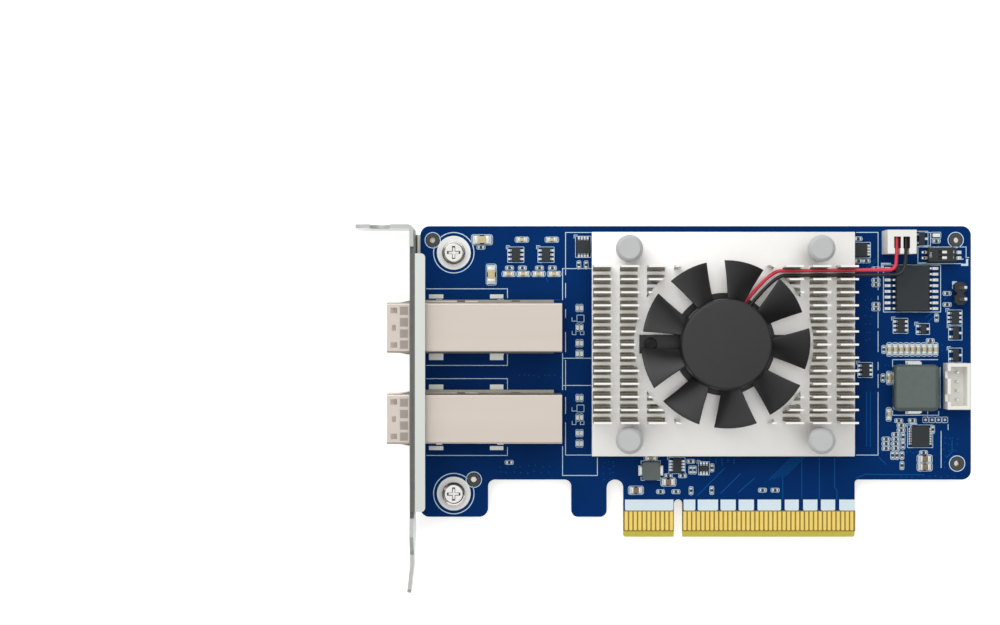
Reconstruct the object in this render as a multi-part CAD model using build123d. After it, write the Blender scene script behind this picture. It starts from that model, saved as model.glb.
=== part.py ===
from build123d import *
import math
import os

# A storage controller card with its low-profile bracket fitted, lying component side up.
# All lengths are millimetres. The origin is where the centre line of the key notch meets
# the bottom edge of the edge connector, on the component face of the board. X runs along
# the board away from the bracket, Y runs to its top edge, Z stands off the component face.

# Circuit board
board_thickness = 1.57
board_left = 57.15           # key notch to the bracket end
board_right = 64.9           # key notch to the free end
board_top = 68.9
board_bottom = 12.7          # lower edge of the wide part
board_corner = 2.0
notch_corner = 1.5
lobe_bottom = 4.45
first_lobe_end = 42.13       # key notch to the far side of the lobe under the bracket
second_lobe_start = 23.7
tongue_left = 12.15
tongue_right = 39.15
relief_width = 3.7           # round-ended slot beside the edge connector
key_width = 1.9
key_height = 8.3
tongue_corner = 0.4
tongue_root_corner = 0.7
bevel_height = 1.44
bevel_depth = 0.38
tooling_radius = 0.62
tooling_from_left = 2.7
tooling_from_right = 3.2
tooling_from_top = 3.1
tooling_low_height = 3.6     # above the lower edge of the wide part
tooling_lobe_inset = 3.2

# Edge contacts
contact_pitch = 1.0
contact_width = 0.7
contact_length = 4.2
contact_thickness = 0.04
contacts_before_key = 11
contacts_after_key = 38
contact_key_gap = 1.5        # key notch to the first contact on each side

# Bracket, one folded sheet
sheet = 0.86
bracket_gap = 1.04           # board edge to the inner face of the plate
bracket_behind_board = 1.37  # its back edge, from the board's back face
bracket_width = 18.42
bracket_top = 68.8
shoulder_height = 1.3        # where the plate starts to narrow
foot_width = 10.16
foot_bend_height = -5.1
foot_length = 6.1
foot_lean = 6.0              # degrees
foot_corner = 1.0
bend_radius = 0.35           # inside every fold
tab_reach = 11.75
tab_corner = 1.6
slot_width = 4.4
slot_from_plate = 6.35
slot_depth = 5.2
dimple_radius = 1.3
dimple_depth = 0.7
dimple_from_plate = 8.6
flange_reach = 3.4
flange_low = 6.76
flange_high = 62.5
flange_corner = 0.9
ear_reach = 13.2             # board tabs, measured from the outer face
ear_height = 8.0
ear_corner = 1.5
boss_radius = 2.03
boss_drop = 0.6
relief_height = 1.5
relief_depth = 1.9
upper_screw_height = 63.0
lower_screw_height = 9.6
screw_from_plate = 9.3

# Vents in the bracket
vent_flats = 4.02
vent_web = 0.86
vent_reach = 5.3             # outer edge of the side vents, from the plate's middle

# Bracket screws
screw_head_radius = 2.57
screw_head_height = 1.7
screw_head_slope = 0.6
screw_shank_radius = 1.42
screw_hole_radius = 1.6
screw_end_gap = 0.1
cross_length = 2.9
cross_width = 0.62
cross_depth = 0.8

# Cable ports
port_from_top = 22.45        # centre of the upper port
port_pitch = 19.85
port_nose = 5.0              # shell in front of the bracket
port_length = 38.05
shell_width = 10.69
shell_top = 11.5
shell_wall = 0.3
shell_corner = 0.4
base_wall = 0.4
base_width = 12.2
base_height = 2.7
base_front_gap = 0.5
base_back_inset = 1.6
port_hole_width = 11.85
port_hole_low = 0.2
port_hole_high = 12.36
port_hole_corner = 0.65
collar_wall = 0.14
collar_plate_gap = 0.25      # collar to the face of the bracket
window_length = 1.8
window_width = 2.1
window_pitch = 2.5
window_count = 4
window_from_plate = 0.42
small_window_length = 1.43
small_window_width = 1.2
small_window_from_front = 0.8
key_window_length = 0.85
key_window_width = 1.25
nose_notch_width = 3.65      # at the front edge of the collar
nose_notch_slope = 0.6       # how much narrower each side is at the back
nose_notch_depth = 0.52
finger_length = 2.1
finger_width = 2.2
finger_pitch = 2.8
finger_count = 3
finger_gap = 0.06            # finger tip to the edge of the port hole
tail_width = 1.2
tail_thickness = 0.3
tail_length = 2.4
tail_clearance = 0.1
tail_places = (5.2, 18.8)    # behind the inner face of the bracket

# Connector inside each port
housing_length = 17.0
housing_gap = 0.1
housing_back_gap = 0.6
card_slot_height = 1.5
card_slot_width = 8.2
card_slot_depth = 7.0
card_slot_spacing = 4.4
wafer_count = 8
wafer_pitch = 0.8
wafer_width = 0.36
wafer_thickness = 0.3

# Controller package and its pad
heatsink_x = 9.56
heatsink_y = 42.8
package_side = 27.0
package_height = 1.1
lid_side = 21.0
lid_height = 1.3
pad_side = 20.0
pad_thickness = 0.5

# Heatsink
heatsink_length = 57.75
heatsink_width = 49.3
heatsink_base = 2.6
fin_height = 7.0
fin_thickness = 0.45
fin_pitch = 2.835
fin_row_count = 13
column_length = 3.93
column_pitch = 5.945
column_count = 10
valley_lift = 0.15           # valley floor over the cross-cut channels
fin_root = 0.55              # slope at the foot of each fin
fan_recess_radius = 19.7

# Push pins
pin_spacing = 41.8
pin_head_radius = 2.94
pin_head_height = 2.0
pin_head_round = 0.7
pin_radius = 1.45
pin_hole_clearance = 0.2
pin_barb_radius = 2.05
pin_barb_height = 1.1
pin_tip_length = 1.9
pin_tip_radius = 0.9
spring_height = 4.4
spring_wire = 0.5
spring_radius = 2.1          # centre of the wire
spring_turn_count = 3
spring_side_count = 6             # straight lengths in one turn

# Fan
fan_plate_thickness = 1.2
fan_plate_radius = 11.26
fan_arm_width = 4.1
fan_arm_past_blades = 0.2
fan_screw_from_end = 2.4      # from the end of the fan's arm
bearing_tube_radius = 2.7
bearing_tube_height = 6.0
sleeve_radius = 2.0
sleeve_length = 5.2
fit_gap = 0.02
shaft_radius = 0.75
shaft_clearance = 0.04
shaft_end_gap = 0.3
ring_board_radius = 8.8
ring_board_thickness = 0.5
stator_radius = 6.9
stator_core_radius = 4.2
stator_height = 2.8
stator_lift = 1.6            # over the fan's plate
stator_pole_count = 4
pole_width = 3.2
hub_radius = 9.92
hub_top = 14.0
hub_height = 5.7
hub_wall = 0.7
hub_roof = 1.0
hub_edge = 0.9
hub_edge_height = 0.5
cup_wall = 0.4
cup_inset = 0.4              # its rim, above the hub's open edge
magnet_wall = 1.1
magnet_height = 3.8
blade_count = 9
blade_phase = -3.0           # degrees, centre line of the first blade
blade_tip_radius = 18.3
blade_half_angle = 15.0
blade_high = 12.6
blade_low = 8.6
blade_thickness = 0.75
blade_camber = 0.55
blade_rooting = 0.5          # depth of the blade's root in the hub's wall
blade_root_spread = 0.75     # share of the half angle at the hub
blade_tip_spread = 0.97
blade_tip_cut = 0.6          # beyond the tip circle, trimmed off
fan_screw_head_radius = 1.55
fan_screw_head_height = 0.85
fan_screw_radius = 0.8
fan_screw_length = 2.6

# Fan wires: red and black, from the fan's ring board to the plug
wire_diameter = 0.8
wire_side_count = 8
red_route = (
    (13.45, 51.15, 7.4),
    (19.45, 58.85, 7.45),
    (46.95, 59.05, 7.8),
    (47.24, 62.2, 7.6),
    (47.24, 65.1, 7.5),
)
black_route = (
    (14.6, 50.5, 7.4),
    (20.4, 57.85, 7.45),
    (48.75, 58.05, 7.8),
    (49.28, 62.0, 7.6),
    (49.24, 65.1, 7.5),
)

# Fan plug and its header on the board
plug_from_right = 16.6       # centre, from the board's free end
plug_from_top = 3.7
plug_length = 6.35
plug_width = 5.25
plug_height = 5.6
plug_top = 8.5
plug_slot_width = 1.45
plug_slot_depth = 1.9
plug_slot_length = 2.55
plug_slot_inset = 1.2         # behind the plug's front
plug_groove_width = 1.1       # from the front to the slot, under the wire
plug_pin_pitch = 2.0
plug_pin_room = 0.15         # round each pin
header_wall = 0.7
header_gap = 0.05
header_pin = 0.5
header_pin_top = 6.0
header_pin_tail = 1.3
pin_hole = 0.8

# Slide switch
switch_from_right = 6.75
switch_from_top = 6.43
switch_length = 6.3
switch_width = 3.3
switch_height = 2.3
switch_slot_width = 0.75
switch_slot_shift = 0.15      # towards the numbered end
switch_slot_depth = 0.7
switch_pitch = 1.25
slider_length = 1.05
slider_width = 0.62
slider_height = 0.6
slider_travel = 0.8
slider_gap = 0.03

# Two-pin jumper header
jumper_from_right = 2.75
jumper_from_top = 14.96
jumper_pitch = 2.54
jumper_body_height = 2.5
jumper_corner = 0.65
jumper_pin = 0.64
jumper_pin_top = 8.8

# Four-pin service header, open box with a slotted wall
service_from_right = 3.65
service_from_top = 35.4
service_length = 10.2
service_width = 5.1
service_height = 5.8
service_wall = 0.8
service_floor = 1.6
service_pin_count = 4
service_pitch = 2.0
service_pin = 0.5
service_pin_top = 4.8
service_notch = 1.6

# Power inductor and small inductor
inductor_from_right = 12.68
inductor_from_top = 35.76
inductor_length = 10.0
inductor_width = 10.3
inductor_height = 4.6
inductor_corner = 1.2
inductor_edge = 0.6
inductor_tab_width = 3.0
inductor_tab_reach = 0.45
inductor_tab_height = 1.6
coil_x = -6.08
coil_above_edge = 2.0        # over the lower edge of the wide part
coil_side = 4.0
coil_height = 2.4
coil_end = 0.55
coil_end_width = 1.6
coil_end_height = 1.2

# Wide chip with sixteen leads
wide_from_right = 13.18
wide_switch_gap = 0.6        # its body under the switch
wide_body_width = 7.5
wide_body_length = 10.3
wide_body_height = 2.35
wide_standoff = 0.15
wide_lead_pitch = 1.27
wide_lead_count = 8          # on each side
wide_lead_span = 10.4
wide_lead_width = 0.42
wide_lead_thickness = 0.26

# Small chips: from-right or from-left, from-top, width, length, height, leads a side, pitch
lead_foot = 0.5
lead_width_share = 0.5
lead_thickness = 0.18
small_standoff = 0.08
right_chips = (
    (24.5, 5.3, 2.8, 3.0, 1.0, 4, 0.65),
    (23.45, 31.9, 1.6, 2.9, 1.1, 3, 0.95),
    (15.6, 22.1, 1.6, 2.9, 1.1, 3, 0.95),
    (10.65, 22.8, 1.3, 2.0, 0.95, 2, 1.3),
    (3.6, 20.25, 1.6, 2.9, 1.1, 3, 0.95),
    (3.45, 23.7, 1.3, 2.7, 1.0, 2, 1.7),
    (3.45, 28.6, 1.3, 2.7, 1.0, 2, 1.7),
    (11.0, 2.8, 1.3, 2.9, 1.0, 2, 1.9),
)
left_chips = (
    (21.15, 6.33, 1.9, 3.0, 1.0, 3, 0.95),
    (27.85, 6.33, 1.9, 3.0, 1.0, 3, 0.95),
)
left_turned_chips = (
    (36.1, 4.6, 3.0, 3.0, 1.0, 4, 0.65),
)
low_chips = (
    (-0.25, 3.1, 1.9, 3.1, 1.0, 4, 0.65),
)
low_turned_chips = (
    (5.7, 2.5, 1.25, 2.0, 0.95, 3, 0.65),
)
flat_chip_from_right = 11.26
flat_chip_from_top = 46.6
flat_chip_width = 3.9
flat_chip_length = 4.6
flat_chip_height = 0.9
flat_chip_pad_count = 7
flat_chip_pad_pitch = 0.55
flat_chip_pad_width = 0.28
flat_chip_pad_reach = 0.3

# Small parts. Sizes are length, width, height. Places are from-right and from-top for the
# right end, from-left and from-top for the bracket end, and X and the height over the
# lower edge of the wide part for the low strip. The last value is 1 where it is turned.
size_1206 = (3.2, 1.6, 1.1)
size_0805 = (2.0, 1.25, 0.95)
size_0603 = (1.6, 0.8, 0.75)
size_0402 = (1.0, 0.5, 0.38)
row_cap_count = 9
row_cap_pitch = 1.28
row_cap_from_right = 18.1    # first of the row
row_cap_from_top = 27.35
big_caps_left = ((13.65, 3.02, 0), (15.73, 10.74, 1))
brown_caps_right = ((10.24, 51.62, 0), (10.24, 53.38, 0))
brown_caps_low = ((-2.18, -0.53, 0), (-9.36, -2.37, 0))
tan_caps_right = ((18.15, 33.66, 1), (18.2, 41.72, 1))
tan_caps_left = (
    (22.51, 3.0, 0),
    (29.15, 3.0, 0),
    (19.59, 10.6, 0),
    (22.82, 10.6, 0),
    (26.19, 10.6, 0),
    (29.66, 10.6, 0),
)
tan_caps_low = ((-6.04, 4.74, 0),)
tiny_right = (
    (19.32, 27.35, 1),
    (19.5, 33.66, 1),
    (21.06, 9.44, 0),
    (21.06, 12.0, 0),
    (21.06, 13.0, 0),
    (21.06, 17.34, 0),
    (21.06, 18.35, 0),
    (25.0, 2.82, 0),
    (24.95, 7.72, 0),
    (23.22, 7.72, 0),
    (5.27, 14.92, 0),
    (5.27, 17.4, 0),
    (7.69, 3.33, 0),
    (15.99, 43.13, 0),
    (12.98, 43.1, 0),
    (8.48, 45.08, 1),
    (10.51, 50.2, 0),
    (15.46, 44.19, 0),
    (15.46, 45.26, 0),
    (16.64, 46.23, 0),
    (15.05, 46.76, 1),
    (16.64, 47.29, 0),
    (16.69, 48.26, 0),
    (15.05, 48.52, 1),
    (16.64, 49.28, 0),
    (18.81, 47.2, 0),
    (18.81, 48.26, 0),
    (18.81, 49.28, 0),
    (17.35, 50.82, 1),
    (16.39, 50.82, 1),
    (15.28, 50.82, 1),
    (15.28, 53.07, 1),
    (9.0, 25.4, 0),
    (7.6, 20.3, 1),
)
tiny_left = (
    (13.43, 4.7, 0),
    (19.76, 9.27, 0),
    (22.62, 9.27, 0),
    (26.41, 9.27, 0),
    (29.27, 9.27, 0),
    (35.14, 8.59, 1),
    (36.75, 8.59, 1),
    (19.7, 52.39, 0),
)
tiny_low = (
    (-2.18, 0.86, 0),
    (0.98, 0.86, 0),
    (-3.92, -2.68, 0),
    (-0.5, -2.68, 0),
    (2.86, -2.46, 1),
    (7.45, -2.39, 1),
    (2.79, 4.04, 0),
    (2.79, 2.15, 1),
    (3.6, 2.15, 1),
    (7.5, 2.62, 1),
    (18.7, -2.35, 0),
    (21.5, -2.35, 0),
)
lamp_from_right = 7.75
lamp_from_top = 2.05
back_cap_row_count = 4
back_cap_column_count = 5
back_cap_pitch_x = 3.6
back_cap_pitch_y = 3.0

# Places worked out from the sizes above
plate_inner = -board_left - bracket_gap
plate_outer = plate_inner - sheet
plate_back = -board_thickness - bracket_behind_board
bracket_front = plate_back + bracket_width
plate_middle = plate_back + bracket_width / 2
board_back = -board_thickness
screw_x = plate_outer + screw_from_plate
relief_left = -tongue_left - relief_width
port_front = plate_outer - port_nose
port_end = port_front + port_length
port_heights = (board_top - port_from_top, board_top - port_from_top - port_pitch)
housing_end = port_end - shell_wall - housing_back_gap
housing_front = housing_end - housing_length
pad_bottom = package_height + lid_height
heatsink_bottom = pad_bottom + pad_thickness
heatsink_face = heatsink_bottom + heatsink_base
fin_tip = heatsink_face + fin_height
fan_plate_top = heatsink_face + fan_plate_thickness
hub_bottom = hub_top - hub_height
hub_ceiling = hub_top - hub_roof
cup_radius = hub_radius - hub_wall
magnet_radius = cup_radius - cup_wall
shaft_hole = shaft_radius + shaft_clearance
plug_x = board_right - plug_from_right
plug_y = board_top - plug_from_top
switch_x = board_right - switch_from_right
switch_slot_length = slider_length + slider_travel + 2 * slider_gap
switch_y = board_top - switch_from_top
wide_y = switch_y - switch_width / 2 - wide_switch_gap - wide_body_length / 2
jumper_x = board_right - jumper_from_right
jumper_y = board_top - jumper_from_top
service_x = board_right - service_from_right
service_y = board_top - service_from_top
pin_places = [
    (heatsink_x + across * pin_spacing / 2, heatsink_y + up * pin_spacing / 2)
    for across in (-1, 1)
    for up in (-1, 1)
]
screw_heights = (upper_screw_height, lower_screw_height)
fan_arm_reach = blade_tip_radius + fan_arm_past_blades
fan_screw_offset = fan_arm_reach - fan_screw_from_end
fan_screw_places = [heatsink_x - fan_screw_offset, heatsink_x + fan_screw_offset]


def block(x0, x1, y0, y1, z0, z1):
    middle = Pos((x0 + x1) / 2, (y0 + y1) / 2, (z0 + z1) / 2)
    return middle * Box(x1 - x0, y1 - y0, z1 - z0)


def rod(x, y, z0, z1, radius):
    return Pos(x, y, (z0 + z1) / 2) * Cylinder(radius, z1 - z0)


def tube(x, y, z0, z1, outer, inner):
    return rod(x, y, z0, z1, outer) - rod(x, y, z0 - 1, z1 + 1, inner)


def outline(points, radii):
    corners = FilletPolyline(*points, radius=radii, close=True)
    return make_face(corners.edges())


def save(name, shapes):
    solids = [solid for shape in shapes for solid in shape.solids()]
    export_step(Compound(solids), "parts/" + name + ".step")


# The board
def board_outline():
    corners = [
        (-board_left, board_top, board_corner),
        (-board_left, lobe_bottom, board_corner),
        (-first_lobe_end, lobe_bottom, board_corner),
        (-first_lobe_end, board_bottom, notch_corner),
        (-second_lobe_start, board_bottom, notch_corner),
        (-second_lobe_start, lobe_bottom, notch_corner),
        (relief_left, lobe_bottom, notch_corner),
        (relief_left, board_bottom, relief_width / 2 - 0.01),
        (-tongue_left, board_bottom, relief_width / 2 - 0.01),
        (-tongue_left, 0, tongue_corner),
        (tongue_right, 0, tongue_corner),
        (tongue_right, board_bottom, tongue_root_corner),
        (board_right, board_bottom, board_corner),
        (board_right, board_top, board_corner),
    ]
    points = [(x, y) for x, y, radius in corners]
    return outline(points, [radius for x, y, radius in corners])


def bevel_cutter(side):
    # side is 1 at the component face and -1 at the solder face
    face = 0 if side > 0 else board_back
    low = face - side * bevel_depth
    wedge = Polyline((-1, low - side), (-1, face + side), (bevel_height, face + side),
                     (bevel_height, face), (0, low), (0, low - side), close=True)
    profile = Plane.YZ * make_face(wedge)
    return Pos(-board_left, 0, 0) * extrude(profile, board_left + board_right)


def board_holes():
    holes = [rod(screw_x, y, board_back - 1, 1, screw_hole_radius) for y in screw_heights]
    top = board_top - tooling_from_top
    low = board_bottom + tooling_low_height
    right = board_right - tooling_from_right
    spots = [
        (-board_left + tooling_from_left, top),
        (right, top),
        (right, low),
        (-first_lobe_end - tooling_lobe_inset, board_bottom),
    ]
    holes += [rod(x, y, board_back - 1, 1, tooling_radius) for x, y in spots]
    reach = pin_radius + pin_hole_clearance
    holes += [rod(x, y, board_back - 1, 1, reach) for x, y in pin_places]
    for x, y in header_pin_spots():
        holes.append(block(x - pin_hole / 2, x + pin_hole / 2, y - pin_hole / 2,
                           y + pin_hole / 2, board_back - 1, 1))
    grow = tail_clearance
    for x, y in tail_spots():
        holes.append(block(x - tail_width / 2 - grow, x + tail_width / 2 + grow,
                           y - tail_thickness / 2 - grow, y + tail_thickness / 2 + grow,
                           board_back - 1, 1))
    return holes


def circuit_board():
    board = extrude(board_outline(), -board_thickness)
    slot = block(-key_width / 2, key_width / 2, -1, key_height - key_width / 2,
                 board_back - 1, 1)
    slot += rod(0, key_height - key_width / 2, board_back - 1, 1, key_width / 2)
    board -= slot
    for side in (1, -1):
        board -= bevel_cutter(side)
    for hole in board_holes():
        board -= hole
    return board


def contact_places():
    before = [-contact_key_gap - contact_pitch * i for i in range(contacts_before_key)]
    after = [contact_key_gap + contact_pitch * i for i in range(contacts_after_key)]
    return before + after


def edge_contacts():
    strips = []
    for x in contact_places():
        for face in (0, board_back - contact_thickness):
            strips.append(block(x - contact_width / 2, x + contact_width / 2,
                                bevel_height, bevel_height + contact_length,
                                face, face + contact_thickness))
    return strips


# The bracket. The plate stands in the YZ plane, so its outline is drawn as (y, z).
def plate_outline():
    half_foot = foot_width / 2
    slope = bracket_width / 2 - half_foot
    narrow = shoulder_height - slope
    points = [
        (bracket_top, plate_back),
        (bracket_top, bracket_front),
        (shoulder_height, bracket_front),
        (narrow, plate_middle + half_foot),
        (foot_bend_height, plate_middle + half_foot),
        (foot_bend_height, plate_middle - half_foot),
        (narrow, plate_middle - half_foot),
        (shoulder_height, plate_back),
    ]
    return make_face(Polyline(*points, close=True))


def vent(y, z):
    # flat sides up and down, corners along the bracket's width
    hexagon = RegularPolygon(vent_flats / 2, 6, major_radius=False, rotation=30)
    return Pos(y, z) * hexagon


def vent_cut(y, z, low, high):
    keep = Pos((low + high) / 2, plate_middle) * Rectangle(high - low, bracket_width)
    return vent(y, z) & keep


def side_vent(y, z):
    keep = Pos(y, plate_middle) * Rectangle(2 * vent_flats, 2 * vent_reach)
    return vent(y, z) & keep


def vent_shapes():
    row = (vent_flats + vent_web) / 2
    column = (vent_flats + vent_web) * math.sqrt(3) / 2
    above = port_heights[0] + port_hole_width / 2 + vent_web
    below = port_heights[1] - port_hole_width / 2 - vent_web
    between = (port_heights[0] + port_heights[1]) / 2
    first = above + row + vent_web / 4
    last = below - row - vent_web / 4
    shapes = [vent(y, plate_middle) for y in (first, first + 2 * row, between, last)]
    for z in (plate_middle - column, plate_middle + column):
        shapes.append(vent_cut(first - row, z, first - row, first + row))
        shapes.append(side_vent(first + row, z))
        shapes.append(vent_cut(between + row, z, between - row, between + row))
        shapes.append(vent_cut(between - row, z, between - row, between + row))
        shapes.append(vent_cut(last + row, z, last - row, last + row))
        shapes.append(side_vent(last - row, z))
    return shapes


def port_hole(y):
    middle = (port_hole_low + port_hole_high) / 2
    hole = RectangleRounded(port_hole_width, port_hole_high - port_hole_low, port_hole_corner)
    return Pos(y, middle) * hole


def standing(face):
    # lifts a (y, z) drawing into the plate's plane and gives it the sheet's thickness
    return Pos(plate_outer, 0, 0) * extrude(Plane.YZ * face, sheet)


def relief_cuts():
    cuts = []
    for y in (flange_low, flange_high):
        toward = -1 if y == flange_low else 1
        middle = y + toward * relief_height / 2
        cuts.append(block(plate_outer - 1, plate_inner + 1,
                          middle - relief_height / 2, middle + relief_height / 2,
                          bracket_front - relief_depth, bracket_front + 1))
    for y in screw_heights:
        for toward in (-1, 1):
            middle = y + toward * (ear_height + relief_height) / 2
            cuts.append(block(plate_outer - 1, plate_inner + 1,
                              middle - relief_height / 2, middle + relief_height / 2,
                              plate_back - 1, board_back + relief_depth - sheet))
        cuts.append(block(plate_outer - 1, plate_inner + 1,
                          y - ear_height / 2, y + ear_height / 2,
                          plate_back - 1, board_back - sheet))
    return cuts


def bent_strip(plane, corner, along, down, length):
    # a right-angle fold seen from its end: corner is the sharp outer corner, along and down
    # are the signed lengths of the two legs
    u, v = corner
    wall_u = math.copysign(sheet, along)
    wall_v = math.copysign(sheet, down)
    points = [(u, v), (u + along, v), (u + along, v + wall_v), (u + wall_u, v + wall_v),
              (u + wall_u, v + down), (u, v + down)]
    radii = [bend_radius + sheet, 0, 0, bend_radius, 0, 0]
    return extrude(plane * outline(points, radii), length)


def across_plane(y):
    # drawings in it are (x, z), and they are drawn out towards -Y
    return Plane(origin=(0, y, 0), x_dir=(1, 0, 0), z_dir=(0, -1, 0))


def front_flange():
    flange = bent_strip(across_plane(flange_high), (plate_outer, bracket_front),
                        flange_reach, -relief_depth, flange_high - flange_low)
    tips = flange.edges().filter_by(Axis.Z).group_by(Axis.X)[-1]
    return fillet(tips, flange_corner)


def board_ear(y):
    low = board_back - sheet
    ear = bent_strip(across_plane(y + ear_height / 2), (plate_outer, low),
                     ear_reach, relief_depth, ear_height)
    tips = ear.edges().filter_by(Axis.Z).group_by(Axis.X)[-1]
    ear = fillet(tips, ear_corner)
    return ear + rod(screw_x, y, low - boss_drop, low, boss_radius)


def screw_tab():
    plane = Plane(origin=(0, 0, plate_back), x_dir=(1, 0, 0), z_dir=(0, 0, 1))
    tab = bent_strip(plane, (plate_inner, bracket_top), -tab_reach - sheet, -3 * sheet,
                     bracket_width)
    tips = tab.edges().filter_by(Axis.Y).group_by(Axis.X)[0]
    tab = fillet(tips, tab_corner)
    slot_x = plate_outer - slot_from_plate
    slot_z = bracket_front - slot_depth + slot_width / 2
    low = bracket_top - 2 * sheet
    slot = block(slot_x - slot_width / 2, slot_x + slot_width / 2, low, bracket_top + 1,
                 slot_z, bracket_front + 1)
    end = Rot(90, 0, 0) * Cylinder(slot_width / 2, 4 * sheet)
    return tab - slot - Pos(slot_x, bracket_top, slot_z) * end


def tab_dimple():
    # a shallow dome pressed out of the tab's underside
    ball = (dimple_radius ** 2 + dimple_depth ** 2) / (2 * dimple_depth)
    under = bracket_top - sheet
    x = plate_outer - dimple_from_plate
    z = plate_back + (bracket_width - slot_depth) / 2
    dome = Pos(x, under - dimple_depth + ball, z) * Sphere(ball)
    return dome & block(x - 2 * ball, x + 2 * ball, under - dimple_depth, under,
                        z - 2 * ball, z + 2 * ball)


def leaning_foot():
    half = foot_width / 2
    strip = RectangleRounded(2 * foot_length, foot_width, foot_corner)
    kept = foot_length + sheet / 2
    strip &= Pos(sheet / 2 - kept / 2, 0) * Rectangle(kept, 2 * half)
    foot = extrude(Plane.YZ * strip, sheet)
    turn = Rot(0, 0, -foot_lean)
    return Pos(plate_outer, foot_bend_height, plate_middle) * turn * foot


def bracket():
    face = plate_outline()
    for y in port_heights:
        face -= port_hole(y)
    for shape in vent_shapes():
        face -= shape
    plate = standing(face)
    corner = bracket_top - 3 * sheet
    plate -= block(plate_outer - 1, plate_inner + 1, corner, bracket_top + 1,
                   plate_back - 1, bracket_front + 1)
    for cut in relief_cuts():
        plate -= cut
    fold_zone = bracket_front - relief_depth
    plate -= block(plate_outer - 1, plate_inner + 1, flange_low, flange_high,
                   fold_zone, bracket_front + 1)
    for y in screw_heights:
        plate -= block(plate_outer - 1, plate_inner + 1, y - ear_height / 2, y + ear_height / 2,
                       plate_back - 1, board_back + relief_depth - sheet)
    whole = plate + front_flange() + screw_tab() + tab_dimple() + leaning_foot()
    for y in screw_heights:
        whole += board_ear(y)
        whole -= rod(screw_x, y, board_back - 3 * sheet, board_back + 1,
                     screw_shank_radius + fit_gap)
    return whole


def cross_cut(x, y, z, length, width, depth):
    cut = block(x - length / 2, x + length / 2, y - width / 2, y + width / 2, z - depth, z + 1)
    return cut + block(x - width / 2, x + width / 2, y - length / 2, y + length / 2,
                       z - depth, z + 1)


def bracket_screw(y):
    head = rod(screw_x, y, 0, screw_head_height, screw_head_radius)
    head = chamfer(head.edges().group_by(Axis.Z)[-1], screw_head_slope)
    end = board_back - sheet - boss_drop + screw_end_gap
    head -= cross_cut(screw_x, y, screw_head_height, cross_length, cross_width, cross_depth)
    return head + rod(screw_x, y, end, 0, screw_shank_radius)


# The cable ports
def tail_spots():
    spots = []
    for y in port_heights:
        for side in (-1, 1):
            for x in tail_places:
                spots.append((plate_inner + x, y + side * (base_width - tail_thickness) / 2))
    return spots


def port_shell(y):
    half = shell_width / 2
    low = base_wall
    shell = block(port_front, port_end, y - half, y + half, low, shell_top)
    long_edges = shell.edges().filter_by(Axis.X)
    shell = fillet(long_edges, shell_corner)
    inside = half - shell_wall
    shell -= block(port_front - 1, port_end - shell_wall, y - inside, y + inside,
                   low + shell_wall, shell_top - shell_wall)
    for window in top_windows(y):
        shell -= window
    return shell


def top_windows(y):
    # three small windows near the front that go through the collar and the shell
    first = port_front + small_window_from_front
    offset_y = shell_width / 2 - 1.0 - small_window_width / 2
    high = shell_top + 1
    low = shell_top - 1
    windows = []
    for side in (-1, 1):
        middle = y + side * offset_y
        windows.append(block(first, first + small_window_length,
                             middle - small_window_width / 2, middle + small_window_width / 2,
                             low, high))
    start = first + (small_window_length - key_window_length) / 2
    windows.append(block(start, start + key_window_length, y - key_window_width / 2,
                         y + key_window_width / 2, low, high))
    return windows


def spring_finger(length, rise, width):
    # a leaf that leans out from the collar, drawn at the origin, leaning to +Y
    wedge = make_face(Polyline((0, 0), (length, rise), (length, 0), close=True))
    return Pos(0, 0, -width / 2) * extrude(wedge, width)


def port_collar(y):
    half = shell_width / 2 + collar_wall
    inner = shell_width / 2
    low = base_wall - collar_wall
    high = shell_top + collar_wall
    end = plate_outer - collar_plate_gap
    collar = block(port_front, end, y - half, y + half, low, high)
    collar = fillet(collar.edges().filter_by(Axis.X), shell_corner + collar_wall)
    core = block(port_front - 1, end + 1, y - inner, y + inner, base_wall, shell_top)
    collar -= fillet(core.edges().filter_by(Axis.X), shell_corner - fit_gap / 2)
    start = plate_outer - window_from_plate - window_length
    for i in range(window_count):
        middle = y + (i - (window_count - 1) / 2) * window_pitch
        collar -= block(start, start + window_length, middle - window_width / 2,
                        middle + window_width / 2, shell_top, high + 1)
    for window in top_windows(y):
        collar -= window
    outer = nose_notch_width / 2
    inside = outer - nose_notch_slope
    notch = make_face(Polyline((port_front - 1, y - outer), (port_front, y - outer),
                               (port_front + nose_notch_depth, y - inside),
                               (port_front + nose_notch_depth, y + inside),
                               (port_front, y + outer), (port_front - 1, y + outer),
                               close=True))
    collar -= Pos(0, 0, shell_top) * extrude(notch, 1)
    rise = port_hole_width / 2 - half - finger_gap
    for i in range(finger_count):
        z = (low + high) / 2 + (i - (finger_count - 1) / 2) * finger_pitch
        leaf = spring_finger(finger_length, rise, finger_width)
        collar += Pos(end - finger_length, y + half, z) * leaf
        collar += Pos(end - finger_length, y - half, z) * Rot(180, 0, 0) * leaf
    return collar


def port_base(y):
    front = -board_left + base_front_gap
    end = port_end - base_back_inset
    half = base_width / 2
    base = block(front, end, y - half, y + half, 0, base_height)
    slope = shell_width / 2 + fit_gap
    base -= block(front - 1, end + 1, y - slope, y + slope, base_wall, base_height + 1)
    shelf = base_wall + 0.5
    for side in (-1, 1):
        inner = y + side * (half - shell_wall)
        edge = y + side * slope
        base -= block(front - 1, end + 1, min(inner, edge), max(inner, edge),
                      base_wall, base_height - shelf)
    for x, tail_y in tail_spots():
        if abs(tail_y - y) < base_width:
            base += block(x - tail_width / 2, x + tail_width / 2,
                          tail_y - tail_thickness / 2, tail_y + tail_thickness / 2,
                          -tail_length, 0)
    return base


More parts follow.
